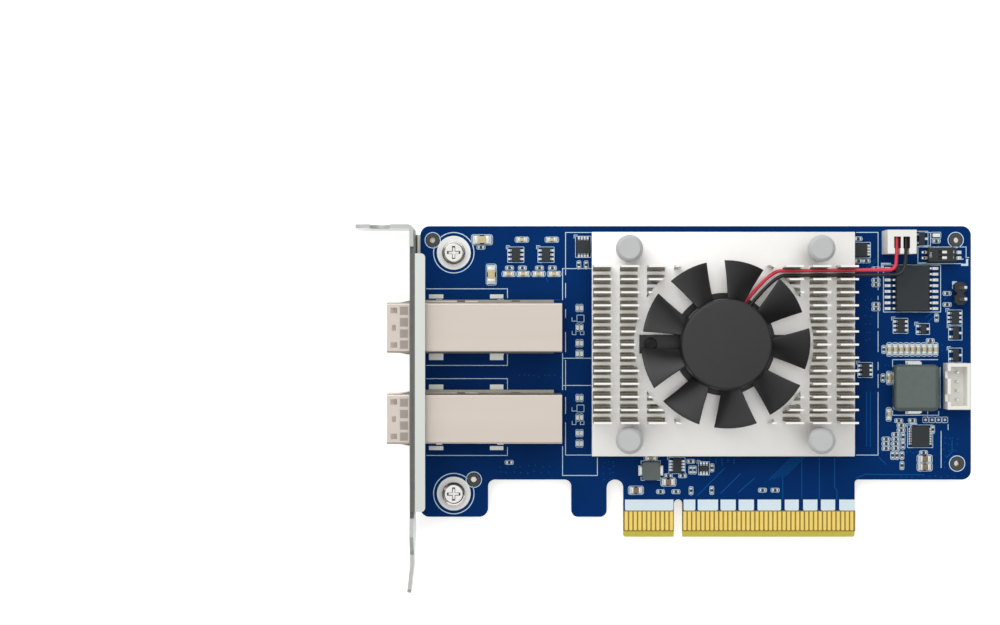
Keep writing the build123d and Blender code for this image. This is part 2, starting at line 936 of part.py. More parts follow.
def port_housing(y):
    half = shell_width / 2 - shell_wall - housing_gap
    low = base_wall + shell_wall
    high = shell_top - shell_wall - housing_gap
    body = block(housing_front, housing_end, y - half, y + half, low, high)
    for z in card_slot_levels():
        body -= block(housing_front - 1, housing_front + card_slot_depth,
                      y - card_slot_width / 2, y + card_slot_width / 2,
                      z - card_slot_height / 2, z + card_slot_height / 2)
    return body


def card_slot_levels():
    middle = (base_wall + shell_top) / 2
    return (middle - card_slot_spacing / 2, middle + card_slot_spacing / 2)


def port_wafers(y):
    leaves = []
    for z in card_slot_levels():
        low = z - card_slot_height / 2
        for i in range(wafer_count):
            middle = y + (i - (wafer_count - 1) / 2) * wafer_pitch
            leaves.append(block(housing_front + 0.6, housing_front + card_slot_depth,
                                middle - wafer_width / 2, middle + wafer_width / 2,
                                low, low + wafer_thickness))
    return leaves


# Controller, pad and heatsink
def square_slab(side, low, high):
    return block(heatsink_x - side / 2, heatsink_x + side / 2,
                 heatsink_y - side / 2, heatsink_y + side / 2, low, high)


def controller_package():
    body = square_slab(package_side, 0, package_height)
    return body + square_slab(lid_side, package_height, pad_bottom)


def comb_profile():
    # one block of fins seen along X: straight fins that widen at the foot
    gap = fin_pitch - fin_thickness
    span = (fin_row_count - 1) * fin_pitch + fin_thickness
    start = heatsink_y - span / 2
    root = heatsink_face - valley_lift
    floor = heatsink_face + valley_lift
    solid = Pos(heatsink_y, (root + fin_tip) / 2) * Rectangle(span, fin_tip - root)
    for i in range(fin_row_count - 1):
        left = start + fin_thickness + i * fin_pitch
        right = left + gap
        valley = Polyline((left, fin_tip + 1), (left, floor + fin_root),
                          (left + fin_root, floor), (right - fin_root, floor),
                          (right, floor + fin_root), (right, fin_tip + 1), close=True)
        solid -= make_face(valley)
    return solid


def heatsink():
    half_x = heatsink_length / 2
    half_y = heatsink_width / 2
    whole = block(heatsink_x - half_x, heatsink_x + half_x, heatsink_y - half_y,
                  heatsink_y + half_y, heatsink_bottom, heatsink_face)
    comb = extrude(Plane.YZ * comb_profile(), column_length)
    for i in range(column_count):
        middle = heatsink_x + (i - (column_count - 1) / 2) * column_pitch
        whole += Pos(middle - column_length / 2, 0, 0) * comb
    whole -= rod(heatsink_x, heatsink_y, heatsink_face, fin_tip + 1, fan_recess_radius)
    for x, y in pin_places:
        whole -= rod(x, y, heatsink_bottom - 1, heatsink_face + 1, pin_radius + pin_hole_clearance)
    for x in fan_screw_places:
        whole -= rod(x, heatsink_y, heatsink_face - fan_screw_length + fan_plate_thickness - 0.1,
                     heatsink_face + 1, fan_screw_radius + fit_gap)
    return whole


# Push pins
def push_pin(x, y):
    head_low = heatsink_face + spring_height
    head_high = head_low + pin_head_height
    barb_top = board_back - fit_gap
    tip = barb_top - pin_barb_height - pin_tip_length + 1.0
    half = [
        (0, head_high),
        (pin_head_radius, head_high),
        (pin_head_radius, head_low),
        (pin_radius, head_low),
        (pin_radius, barb_top),
        (pin_barb_radius, barb_top),
        (pin_tip_radius, tip),
        (0, tip),
    ]
    pin = revolve(Plane.XZ * make_face(Polyline(*half, close=True)), Axis.Z)
    pin = chamfer(pin.edges().group_by(Axis.Z)[-1], pin_head_round)
    return Pos(x, y, 0) * pin


def push_pin_spring(x, y):
    # a coil of square wire, wound in straight lengths
    low = heatsink_face + spring_wire / 2 + fit_gap
    rise = spring_height - spring_wire - 2 * fit_gap
    steps = spring_turn_count * spring_side_count
    path = []
    for i in range(steps + 1):
        angle = 2 * math.pi * i / spring_side_count
        path.append((spring_radius * math.cos(angle), spring_radius * math.sin(angle),
                     low + rise * i / steps))
    line = Polyline(*path)
    start = Plane(origin=path[0], z_dir=line % 0)
    coil = sweep(start * Rectangle(spring_wire, spring_wire), line, transition=Transition.RIGHT)
    return Pos(x, y, 0) * coil


# The fan
def fan_plate():
    cx = heatsink_x
    cy = heatsink_y
    plate = rod(cx, cy, heatsink_face, fan_plate_top, fan_plate_radius)
    half = fan_arm_width / 2
    for side in (-1, 1):
        end = cx + side * fan_arm_reach
        plate += block(min(cx, end), max(cx, end), cy - half, cy + half,
                       heatsink_face, fan_plate_top)
    plate += tube(cx, cy, fan_plate_top, fan_plate_top + bearing_tube_height,
                  bearing_tube_radius, sleeve_radius + fit_gap)
    for x in fan_screw_places:
        plate -= rod(x, cy, heatsink_face - 1, fan_plate_top + 1, fan_screw_radius + fit_gap)
    return plate


def fan_sleeve():
    low = fan_plate_top + 0.3
    return tube(heatsink_x, heatsink_y, low, low + sleeve_length, sleeve_radius, shaft_hole)


def fan_ring_board():
    return tube(heatsink_x, heatsink_y, fan_plate_top, fan_plate_top + ring_board_thickness,
                ring_board_radius, bearing_tube_radius + fit_gap)


def fan_stator():
    # a steel core with four wound arms
    low = fan_plate_top + stator_lift
    core = rod(0, 0, 0, stator_height, stator_core_radius)
    for i in range(stator_pole_count):
        turn = Rot(0, 0, 360 * i / stator_pole_count)
        core += turn * block(0, stator_radius, -pole_width / 2, pole_width / 2, 0, stator_height)
    core -= rod(0, 0, -1, stator_height + 1, bearing_tube_radius + fit_gap)
    return Pos(heatsink_x, heatsink_y, low) * core


def fan_shaft():
    return rod(heatsink_x, heatsink_y, fan_plate_top + shaft_end_gap, hub_ceiling, shaft_radius)


def fan_cup():
    low = hub_bottom + cup_inset
    return tube(heatsink_x, heatsink_y, low, hub_ceiling, cup_radius - fit_gap, magnet_radius)


def fan_magnet():
    high = hub_ceiling - 0.1
    return tube(heatsink_x, heatsink_y, high - magnet_height, high, magnet_radius - fit_gap,
                magnet_radius - magnet_wall)


def blade_corners(radius, thickness, spread):
    # six corners of a bent strip, in the plane that faces along X at the given distance
    reach = radius * math.tan(math.radians(blade_half_angle)) * spread
    middle = (blade_high + blade_low) / 2
    high = blade_high - thickness / 2
    low = blade_low + thickness / 2
    slope = math.atan2(high - low, 2 * reach)
    side_y = math.sin(slope) * thickness / 2
    side_z = math.cos(slope) * thickness / 2
    spots = ((-reach, low), (0, middle + blade_camber), (reach, high))
    upper = [(radius, y - side_y, z + side_z) for y, z in spots]
    lower = [(radius, y + side_y, z - side_z) for y, z in reversed(spots)]
    return upper + lower


def flat_sided(first, last):
    # a solid between two outlines with the same number of corners, in flat triangles
    faces = [Face(Wire.make_polygon(first)), Face(Wire.make_polygon(last))]
    count = len(first)
    for i in range(count):
        after = (i + 1) % count
        for corners in ((first[i], first[after], last[after]), (first[i], last[after], last[i])):
            faces.append(Face(Wire.make_polygon(corners)))
    return Solid(Shell(faces))


def fan_blade():
    root = blade_corners(hub_radius - blade_rooting, blade_thickness, blade_root_spread)
    tip = blade_corners(blade_tip_radius + blade_tip_cut, blade_thickness, blade_tip_spread)
    blade = flat_sided(root, tip)
    return blade & rod(0, 0, 0, 2 * hub_top, blade_tip_radius)


def fan_impeller():
    hub = rod(0, 0, hub_bottom, hub_top, hub_radius)
    hub = chamfer(hub.edges().group_by(Axis.Z)[-1], hub_edge_height, hub_edge)
    blade = fan_blade()
    for i in range(blade_count):
        hub += Rot(0, 0, blade_phase + 360 * i / blade_count) * blade
    hub -= rod(0, 0, hub_bottom - 2, hub_ceiling, cup_radius)
    return Pos(heatsink_x, heatsink_y, 0) * hub


def fan_screw(x):
    top = fan_plate_top + fan_screw_head_height
    head = rod(x, heatsink_y, fan_plate_top, top, fan_screw_head_radius)
    return head + rod(x, heatsink_y, fan_plate_top - fan_screw_length, fan_plate_top,
                      fan_screw_radius)


# Fan wires
def wire_radii(route):
    points = [Vector(*point) for point in route]
    radii = []
    for before, corner, after in zip(points, points[1:], points[2:]):
        run_in = corner - before
        run_out = after - corner
        half_turn = math.radians(run_in.get_angle(run_out)) / 2
        radii.append(0.45 * min(run_in.length, run_out.length) / math.tan(half_turn))
    return radii


def fan_wire(route):
    radii = wire_radii(route)
    path = FilletPolyline(*route, radius=radii)
    flat = RegularPolygon(wire_diameter / 2, wire_side_count)
    section = Plane(origin=route[0], z_dir=path % 0) * flat
    wire = sweep(section, path)
    print("wire length", round(path.length, 2), "radii", [round(r, 1) for r in radii])
    print("wire volume share", round(wire.volume / (section.area * path.length), 4))
    return wire


# Fan plug and header
def plug_pin_offsets():
    return (-plug_pin_pitch / 2, plug_pin_pitch / 2)


def fan_plug():
    low = plug_top - plug_height
    front = plug_y - plug_width / 2
    body = block(plug_x - plug_length / 2, plug_x + plug_length / 2, front,
                 plug_y + plug_width / 2, low + plug_height / 2, plug_top)
    inset = header_wall + header_gap
    body += block(plug_x - plug_length / 2 + inset, plug_x + plug_length / 2 - inset,
                  front + inset, plug_y + plug_width / 2 - inset, low, low + plug_height / 2)
    for dx in plug_pin_offsets():
        x = plug_x + dx
        slot_front = front + plug_slot_inset
        body -= block(x - plug_slot_width / 2, x + plug_slot_width / 2, slot_front,
                      slot_front + plug_slot_length, plug_top - plug_slot_depth, plug_top + 1)
        body -= block(x - plug_groove_width / 2, x + plug_groove_width / 2, front - 1,
                      slot_front + 0.1, plug_top - plug_slot_depth, plug_top + 1)
        reach = header_pin / 2 + plug_pin_room
        body -= block(x - reach, x + reach, plug_y - reach, plug_y + reach, low - 1,
                      header_pin_top + plug_pin_room)
    return body


def fan_header():
    low = plug_top - plug_height
    high = low + plug_height / 2
    body = block(plug_x - plug_length / 2, plug_x + plug_length / 2,
                 plug_y - plug_width / 2, plug_y + plug_width / 2, 0, high)
    body -= block(plug_x - plug_length / 2 + header_wall, plug_x + plug_length / 2 - header_wall,
                  plug_y - plug_width / 2 + header_wall, plug_y + plug_width / 2 - header_wall,
                  low, high + 1)
    for dx in plug_pin_offsets():
        body -= block(plug_x + dx - header_pin / 2, plug_x + dx + header_pin / 2,
                      plug_y - header_pin / 2, plug_y + header_pin / 2, -1, low + 1)
    return body


def square_pin(x, y, size, top):
    return block(x - size / 2, x + size / 2, y - size / 2, y + size / 2,
                 board_back - header_pin_tail, top)


def fan_header_pins():
    return [square_pin(plug_x + dx, plug_y, header_pin, header_pin_top)
            for dx in plug_pin_offsets()]


# Jumper header
def jumper_lobes():
    return (jumper_y - jumper_pitch / 2, jumper_y + jumper_pitch / 2)


def jumper_header():
    half = jumper_pitch / 2
    body = None
    for y in jumper_lobes():
        lobe = Pos(jumper_x, y) * Rectangle(2 * half, 2 * half)
        lobe = chamfer(lobe.vertices(), jumper_corner)
        solid = extrude(lobe, jumper_body_height)
        body = solid if body is None else body + solid
    for y in jumper_lobes():
        body -= block(jumper_x - jumper_pin / 2, jumper_x + jumper_pin / 2,
                      y - jumper_pin / 2, y + jumper_pin / 2, -1, jumper_body_height + 1)
    return body


def jumper_pins():
    return [square_pin(jumper_x, y, jumper_pin, jumper_pin_top) for y in jumper_lobes()]


# Service header
def service_pin_heights():
    return [service_y + (i - (service_pin_count - 1) / 2) * service_pitch for i in range(service_pin_count)]


def service_header():
    half_x = service_width / 2
    half_y = service_length / 2
    body = block(service_x - half_x, service_x + half_x, service_y - half_y,
                 service_y + half_y, 0, service_height)
    body -= block(service_x - half_x + service_wall, service_x + half_x - service_wall,
                  service_y - half_y + service_wall, service_y + half_y - service_wall,
                  service_floor, service_height + 1)
    for side in (-1, 1):
        middle = service_y + side * service_length / 4
        body -= block(service_x - half_x - 1, service_x - half_x + service_wall + 0.1,
                      middle - service_notch / 2, middle + service_notch / 2,
                      service_floor + 1, service_height + 1)
    for y in service_pin_heights():
        body -= block(service_x - service_pin / 2, service_x + service_pin / 2,
                      y - service_pin / 2, y + service_pin / 2, -1, service_floor + 1)
    return body


def service_header_pins():
    return [square_pin(service_x, y, service_pin, service_pin_top) for y in service_pin_heights()]


def header_pin_spots():
    spots = [(plug_x + dx, plug_y) for dx in plug_pin_offsets()]
    spots += [(jumper_x, y) for y in jumper_lobes()]
    spots += [(service_x, y) for y in service_pin_heights()]
    return spots


# Slide switch
def slider_heights():
    return (switch_y - switch_pitch / 2, switch_y + switch_pitch / 2)


def slider_slot_start():
    return switch_x - switch_slot_length / 2 + switch_slot_shift


def switch_body():
    half_x = switch_length / 2
    half_y = switch_width / 2
    body = block(switch_x - half_x, switch_x + half_x, switch_y - half_y, switch_y + half_y,
                 small_standoff, switch_height)
    top_edges = body.edges().group_by(Axis.Z)[-1]
    body = chamfer(top_edges, 0.2)
    start = slider_slot_start()
    for y in slider_heights():
        body -= block(start, start + switch_slot_length, y - switch_slot_width / 2,
                      y + switch_slot_width / 2, switch_height - switch_slot_depth,
                      switch_height + 1)
    return body


def switch_slider(y):
    # pushed to the numbered end
    end = slider_slot_start() + switch_slot_length - slider_gap
    low = switch_height - switch_slot_depth + slider_gap
    return block(end - slider_length, end, y - slider_width / 2, y + slider_width / 2,
                 low, low + slider_height)


def switch_leads():
    leads = []
    for y in slider_heights():
        for side in (-1, 1):
            near = switch_x + side * switch_length / 2
            far = near + side * 1.0
            leads.append(block(min(near, far), max(near, far), y - 0.25, y + 0.25, 0, 0.22))
    return leads


# Inductors
def power_inductor():
    x = board_right - inductor_from_right
    y = board_top - inductor_from_top
    face = Pos(x, y) * RectangleRounded(inductor_length, inductor_width, inductor_corner)
    body = extrude(face, inductor_height)
    return chamfer(body.edges().group_by(Axis.Z)[-1], inductor_edge)


def inductor_tabs():
    x = board_right - inductor_from_right
    y = board_top - inductor_from_top
    tabs = []
    for side in (-1, 1):
        near = y + side * inductor_width / 2
        far = near + side * inductor_tab_reach
        tabs.append(block(x - inductor_tab_width / 2, x + inductor_tab_width / 2,
                          min(near, far), max(near, far), 0, inductor_tab_height))
    return tabs


def small_inductor():
    y = board_bottom + coil_above_edge
    face = Pos(coil_x, y) * RectangleRounded(coil_side, coil_side, 0.6)
    return extrude(face, coil_height)


def small_inductor_ends():
    y = board_bottom + coil_above_edge
    ends = []
    for side in (-1, 1):
        near = coil_x + side * coil_side / 2
        far = near + side * coil_end
        ends.append(block(min(near, far), max(near, far), y - coil_end_width / 2,
                          y + coil_end_width / 2, 0, coil_end_height))
    return ends


# The wide chip
def wide_chip():
    x = board_right - wide_from_right
    y = wide_y
    body = block(x - wide_body_width / 2, x + wide_body_width / 2, y - wide_body_length / 2,
                 y + wide_body_length / 2, wide_standoff, wide_body_height)
    return chamfer(body.edges().group_by(Axis.Z)[-1], 0.25)


def gull_lead(inner, outer, high, thickness, width):
    # a lead seen from its end: out of the body, down, and a foot on the board
    knee = inner + 0.45 * (outer - inner)
    points = [
        (inner, high),
        (knee + thickness, high),
        (knee + thickness, thickness),
        (outer, thickness),
        (outer, 0),
        (knee, 0),
        (knee, high - thickness),
        (inner, high - thickness),
    ]
    profile = Plane.XZ * make_face(Polyline(*points, close=True))
    return Pos(0, width / 2, 0) * extrude(profile, width)


def wide_chip_leads():
    x = board_right - wide_from_right
    y = wide_y
    lead = gull_lead(wide_body_width / 2, wide_lead_span / 2, wide_body_height / 2,
                     wide_lead_thickness, wide_lead_width)
    leads = []
    for i in range(wide_lead_count):
        middle = y + (i - (wide_lead_count - 1) / 2) * wide_lead_pitch
        leads.append(Pos(x, middle, 0) * lead)
        leads.append(Pos(x, middle, 0) * Rot(0, 0, 180) * lead)
    return leads


# Small chips, each drawn at the origin with its leads to the left and right
def small_chip(width, length, height):
    return block(-width / 2, width / 2, -length / 2, length / 2, small_standoff, height)


def small_leads(width, count, pitch):
    # with two leads on its left a part is a transistor, with one on its right
    leads = []
    half = lead_width_share * min(pitch, 0.8) / 2
    for side in (-1, 1):
        near = side * width / 2
        far = near + side * lead_foot
        here = 1 if count == 2 and side == 1 else count
        for i in range(here):
            y = (i - (here - 1) / 2) * pitch
            leads.append(block(min(near, far), max(near, far), y - half, y + half,
                               0, lead_thickness))
    return leads


def chip_spots():
    spots = []
    for dx, dy, *size in right_chips:
        spots.append((Pos(board_right - dx, board_top - dy, 0), size))
    for dx, dy, *size in left_chips:
        spots.append((Pos(-board_left + dx, board_top - dy, 0), size))
    for dx, dy, *size in left_turned_chips:
        spots.append((Pos(-board_left + dx, board_top - dy, 0) * Rot(0, 0, 90), size))
    for x, dy, *size in low_chips:
        spots.append((Pos(x, board_bottom + dy, 0), size))
    for x, dy, *size in low_turned_chips:
        spots.append((Pos(x, board_bottom + dy, 0) * Rot(0, 0, 90), size))
    return spots


def small_chips():
    return [place * small_chip(size[0], size[1], size[2]) for place, size in chip_spots()]


def small_chip_leads():
    leads = []
    for place, size in chip_spots():
        for lead in small_leads(size[0], size[3], size[4]):
            leads.append(place * lead)
    return leads


def flat_chip():
    x = board_right - flat_chip_from_right
    y = board_top - flat_chip_from_top
    return block(x - flat_chip_width / 2, x + flat_chip_width / 2, y - flat_chip_length / 2,
                 y + flat_chip_length / 2, 0, flat_chip_height)


def flat_chip_leads():
    x = board_right - flat_chip_from_right
    y = board_top - flat_chip_from_top
    pads = []
    for side in (-1, 1):
        near = x + side * flat_chip_width / 2
        far = near + side * flat_chip_pad_reach
        for i in range(flat_chip_pad_count):
            middle = y + (i - (flat_chip_pad_count - 1) / 2) * flat_chip_pad_pitch
            half = flat_chip_pad_width / 2
            pads.append(block(min(near, far), max(near, far), middle - half, middle + half,
                              0, lead_thickness))
    return pads


# Chip capacitors, resistors and the lamp
def brick(x, y, size, turned):
    length, width, height = size
    if turned:
        length, width = width, length
    return block(x - length / 2, x + length / 2, y - width / 2, y + width / 2, 0, height)


def right_bricks(places, size):
    return [brick(board_right - x, board_top - y, size, turned) for x, y, turned in places]


def left_bricks(places, size):
    return [brick(x - board_left, board_top - y, size, turned) for x, y, turned in places]


def low_bricks(places, size):
    return [brick(x, board_bottom + y, size, turned) for x, y, turned in places]


def row_capacitors():
    row = []
    for i in range(row_cap_count):
        x = board_right - row_cap_from_right + i * row_cap_pitch
        row.append(brick(x, board_top - row_cap_from_top, size_0603, 1))
    return row


def status_lamp():
    return right_bricks(((lamp_from_right, lamp_from_top, 0),), size_0603)


def back_capacitors():
    bricks = []
    length, width, height = size_0402
    for i in range(back_cap_column_count):
        for j in range(back_cap_row_count):
            x = heatsink_x + (i - (back_cap_column_count - 1) / 2) * back_cap_pitch_x
            y = heatsink_y + (j - (back_cap_row_count - 1) / 2) * back_cap_pitch_y
            bricks.append(block(x - length / 2, x + length / 2, y - width / 2, y + width / 2,
                                board_back - height, board_back))
    return bricks


os.makedirs("parts", exist_ok=True)
save("circuit_board", [circuit_board()])
save("edge_contacts", edge_contacts())
save("bracket", [bracket()])
save("bracket_screws", [bracket_screw(y) for y in screw_heights])
for port_name, port_y in zip(("upper", "lower"), port_heights):
    save(port_name + "_port_shell", [port_shell(port_y)])
    save(port_name + "_port_collar", [port_collar(port_y)])
    save(port_name + "_port_base", [port_base(port_y)])
    save(port_name + "_port_housing", [port_housing(port_y)])
    save(port_name + "_port_contacts", port_wafers(port_y))
save("controller_package", [controller_package()])
save("thermal_pad", [square_slab(pad_side, pad_bottom, heatsink_bottom)])
save("heatsink", [heatsink()])
save("push_pins", [push_pin(x, y) for x, y in pin_places])
save("push_pin_springs", [push_pin_spring(x, y) for x, y in pin_places])
save("fan_plate", [fan_plate()])
save("fan_sleeve", [fan_sleeve()])
save("fan_ring_board", [fan_ring_board()])
save("fan_stator", [fan_stator()])
save("fan_shaft", [fan_shaft()])
save("fan_cup", [fan_cup()])
save("fan_magnet", [fan_magnet()])
save("fan_impeller", [fan_impeller()])
save("fan_screws", [fan_screw(x) for x in fan_screw_places])
save("fan_wire_red", [fan_wire(red_route)])
save("fan_wire_black", [fan_wire(black_route)])
save("fan_plug", [fan_plug()])
save("fan_header", [fan_header()])
save("fan_header_pins", fan_header_pins())
save("jumper_header", [jumper_header()])
save("jumper_pins", jumper_pins())
save("service_header", [service_header()])
save("service_header_pins", service_header_pins())
save("switch_body", [switch_body()])
save("switch_leads", switch_leads())
for number, slider_y in enumerate(slider_heights(), start=1):
    save("switch_slider_" + str(number), [switch_slider(slider_y)])
save("power_inductor", [power_inductor()])
save("power_inductor_tabs", inductor_tabs())
save("small_inductor", [small_inductor()])
save("small_inductor_ends", small_inductor_ends())
save("wide_chip", [wide_chip()])
save("wide_chip_leads", wide_chip_leads())
save("small_chips", small_chips() + [flat_chip()])
save("small_chip_leads", small_chip_leads() + flat_chip_leads())
save("large_capacitors", left_bricks(big_caps_left, size_1206))
save("brown_capacitors",
     right_bricks(brown_caps_right, size_0805) + low_bricks(brown_caps_low, size_0805))
save("tan_capacitors",
     row_capacitors() + right_bricks(tan_caps_right, size_0603)
     + left_bricks(tan_caps_left, size_0603) + low_bricks(tan_caps_low, size_0603))
save("tiny_resistors",
     right_bricks(tiny_right, size_0402) + left_bricks(tiny_left, size_0402)
     + low_bricks(tiny_low, size_0402))
save("status_lamp", status_lamp())
save("back_capacitors", back_capacitors())
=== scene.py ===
import math
import random

import bpy
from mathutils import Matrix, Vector


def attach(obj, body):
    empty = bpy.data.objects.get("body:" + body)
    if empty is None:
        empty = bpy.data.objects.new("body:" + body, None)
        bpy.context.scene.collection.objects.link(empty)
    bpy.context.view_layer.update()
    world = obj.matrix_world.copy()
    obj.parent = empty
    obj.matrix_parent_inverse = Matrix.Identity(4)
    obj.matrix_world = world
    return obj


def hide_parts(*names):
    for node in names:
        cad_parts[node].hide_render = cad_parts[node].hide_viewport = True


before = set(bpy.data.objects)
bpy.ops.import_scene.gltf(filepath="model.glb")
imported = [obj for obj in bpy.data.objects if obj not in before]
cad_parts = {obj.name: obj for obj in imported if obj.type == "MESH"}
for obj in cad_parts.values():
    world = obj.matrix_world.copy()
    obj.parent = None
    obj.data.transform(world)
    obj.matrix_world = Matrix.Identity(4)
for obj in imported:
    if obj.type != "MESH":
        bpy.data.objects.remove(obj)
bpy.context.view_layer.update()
mm = 0.001
random.seed(7)
print("stage: frame loaded")


# Camera straight above the card, as in the photograph
camera = {"x": -39.5, "y": 49.75, "height": 550.0, "lens": 89.3, "sensor": 36.0}
photo = {"scale": 0.2218, "originX": 678.15, "originY": 536.8}

bpy.ops.object.camera_add(location=(camera["x"] * mm, camera["y"] * mm, camera["height"] * mm))
cameraObject = bpy.context.object
cameraObject.data.lens = camera["lens"]
cameraObject.data.sensor_width = camera["sensor"]
cameraObject.data.clip_start = 0.01
bpy.context.scene.camera = cameraObject


def atPixel(px, py):
    # a point on the board's face, in millimetres, from a pixel of the photograph
    return ((px - photo["originX"]) * photo["scale"], (photo["originY"] - py) * photo["scale"])


def atHeight(px, py, height):
    # the same at a height above the board
    x, y = atPixel(px, py)
    share = height / camera["height"]
    return (x + (camera["x"] - x) * share, y + (camera["y"] - y) * share)


def pixelPath(*pixels):
    return [atPixel(*pixel) for pixel in pixels]


def pixelBar(px0, px1, py0, py1, height=0.0):
    # left, right, lower and upper side of a rectangle between pixels
    x0, y1 = atHeight(px0, py0, height)
    x1, y0 = atHeight(px1, py1, height)
    return (x0, x1, y0, y1)


# Short forms of the calls that every piece needs
def deselectAll():
    bpy.ops.object.select_all(action="DESELECT")


def makeActive(piece):
    deselectAll()
    piece.select_set(True)
    bpy.context.view_layer.objects.active = piece


def editMode():
    bpy.ops.object.mode_set(mode="EDIT")


def objectMode():
    bpy.ops.object.mode_set(mode="OBJECT")


def smooth(degrees):
    bpy.ops.object.shade_smooth_by_angle(angle=math.radians(degrees))


def placed(name, data):
    piece = bpy.data.objects.new(name, data)
    bpy.context.collection.objects.link(piece)
    return piece


def dressed(piece, *names):
    piece.data.materials.clear()
    for name in names:
        piece.data.materials.append(materials[name])


def applied(piece, kind, settings):
    makeActive(piece)
    modifier = piece.modifiers.new("work", kind)
    for name, value in settings.items():
        setattr(modifier, name, value)
    bpy.ops.object.modifier_apply(modifier="work")


def rounded(piece, width, segments, degrees):
    # rounds every edge sharper than an angle
    applied(piece, "BEVEL", {"width": width * mm, "segments": segments, "limit_method": "ANGLE",
                             "angle_limit": math.radians(degrees)})


def bevelEdges(piece, chosen, offset, segments):
    # rounds the edges whose two ends pass a test
    editMode()
    bpy.ops.mesh.select_mode(type="EDGE")
    bpy.ops.mesh.select_all(action="DESELECT")
    objectMode()
    for edge in piece.data.edges:
        edge.select = chosen(*(piece.data.vertices[index].co for index in edge.vertices))
    editMode()
    bpy.ops.mesh.bevel(offset=offset * mm, segments=segments, affect="EDGES")
    objectMode()


def extrudeBy(x, y, z):
    bpy.ops.mesh.extrude_region_move(TRANSFORM_OT_translate={"value": (x * mm, y * mm, z * mm)})


def tube(name, route, diameter, order, roundness, resolution):
    # a round wire along its points
    curve = bpy.data.curves.new(name, "CURVE")
    curve.dimensions = "3D"
    curve.bevel_depth = diameter / 2 * mm
    curve.bevel_resolution = roundness
    curve.resolution_u = resolution
    curve.use_fill_caps = True
    line = curve.splines.new("NURBS")
    line.points.add(len(route) - 1)
    for point, place in zip(line.points, route):
        point.co = (place[0] * mm, place[1] * mm, place[2] * mm, 1.0)
    line.order_u = order
    line.use_endpoint_u = True
    return placed(name, curve)


# Materials
def linear(hexColour):
    values = [int(hexColour[i:i + 2], 16) / 255 for i in (1, 3, 5)]
    return tuple(value / 12.92 if value <= 0.04045 else ((value + 0.055) / 1.055) ** 2.4
                 for value in values) + (1.0,)


def addNode(tree, kind, inputs, settings=None):
    node = tree.nodes.new(kind)
    for name, value in (settings or {}).items():
        setattr(node, name, value)
    for socket, value in inputs.items():
        if isinstance(value, bpy.types.NodeSocket):
            tree.links.new(value, node.inputs[socket])
        else:
            node.inputs[socket].default_value = value
    return node


def surface(name, recipe):
    first, second, patch, grain, low, high, bump, others = recipe
    material = bpy.data.materials.new(name)
    material.use_nodes = True
    tree = material.node_tree
    shader = tree.nodes["Principled BSDF"]
    shader.inputs["Metallic"].default_value = others.get("metallic", 0.0)
    shader.inputs["Specular IOR Level"].default_value = others.get("specular", 0.5)
    if "coat" in others:
        shader.inputs["Coat Weight"].default_value = others["coat"]
        shader.inputs["Coat Roughness"].default_value = 0.15
    place = addNode(tree, "ShaderNodeTexCoord", {}).outputs["Object"]
    stretch = others.get("stretch", (1, 1, 1))
    spot = addNode(tree, "ShaderNodeMapping", {"Vector": place, "Scale": stretch}).outputs[0]
    patches = addNode(tree, "ShaderNodeTexNoise",
                      {"Vector": spot, "Scale": 1000 / patch, "Detail": 3.0})
    mix = addNode(tree, "ShaderNodeMix",
                  {0: patches.outputs["Fac"], 6: linear(first), 7: linear(second)},
                  {"data_type": "RGBA"})
    grains = addNode(tree, "ShaderNodeTexNoise",
                     {"Vector": spot, "Scale": 1000 / grain, "Detail": 2.0})
    rough = addNode(tree, "ShaderNodeMapRange",
                    {"Value": grains.outputs["Fac"], "To Min": low, "To Max": high})
    bumps = addNode(tree, "ShaderNodeBump", {"Height": grains.outputs["Fac"], "Strength": bump,
                                             "Distance": grain * mm * 0.3})
    tree.links.new(mix.outputs[2], shader.inputs["Base Color"])
    tree.links.new(rough.outputs[0], shader.inputs["Roughness"])
    tree.links.new(bumps.outputs[0], shader.inputs["Normal"])
    return material


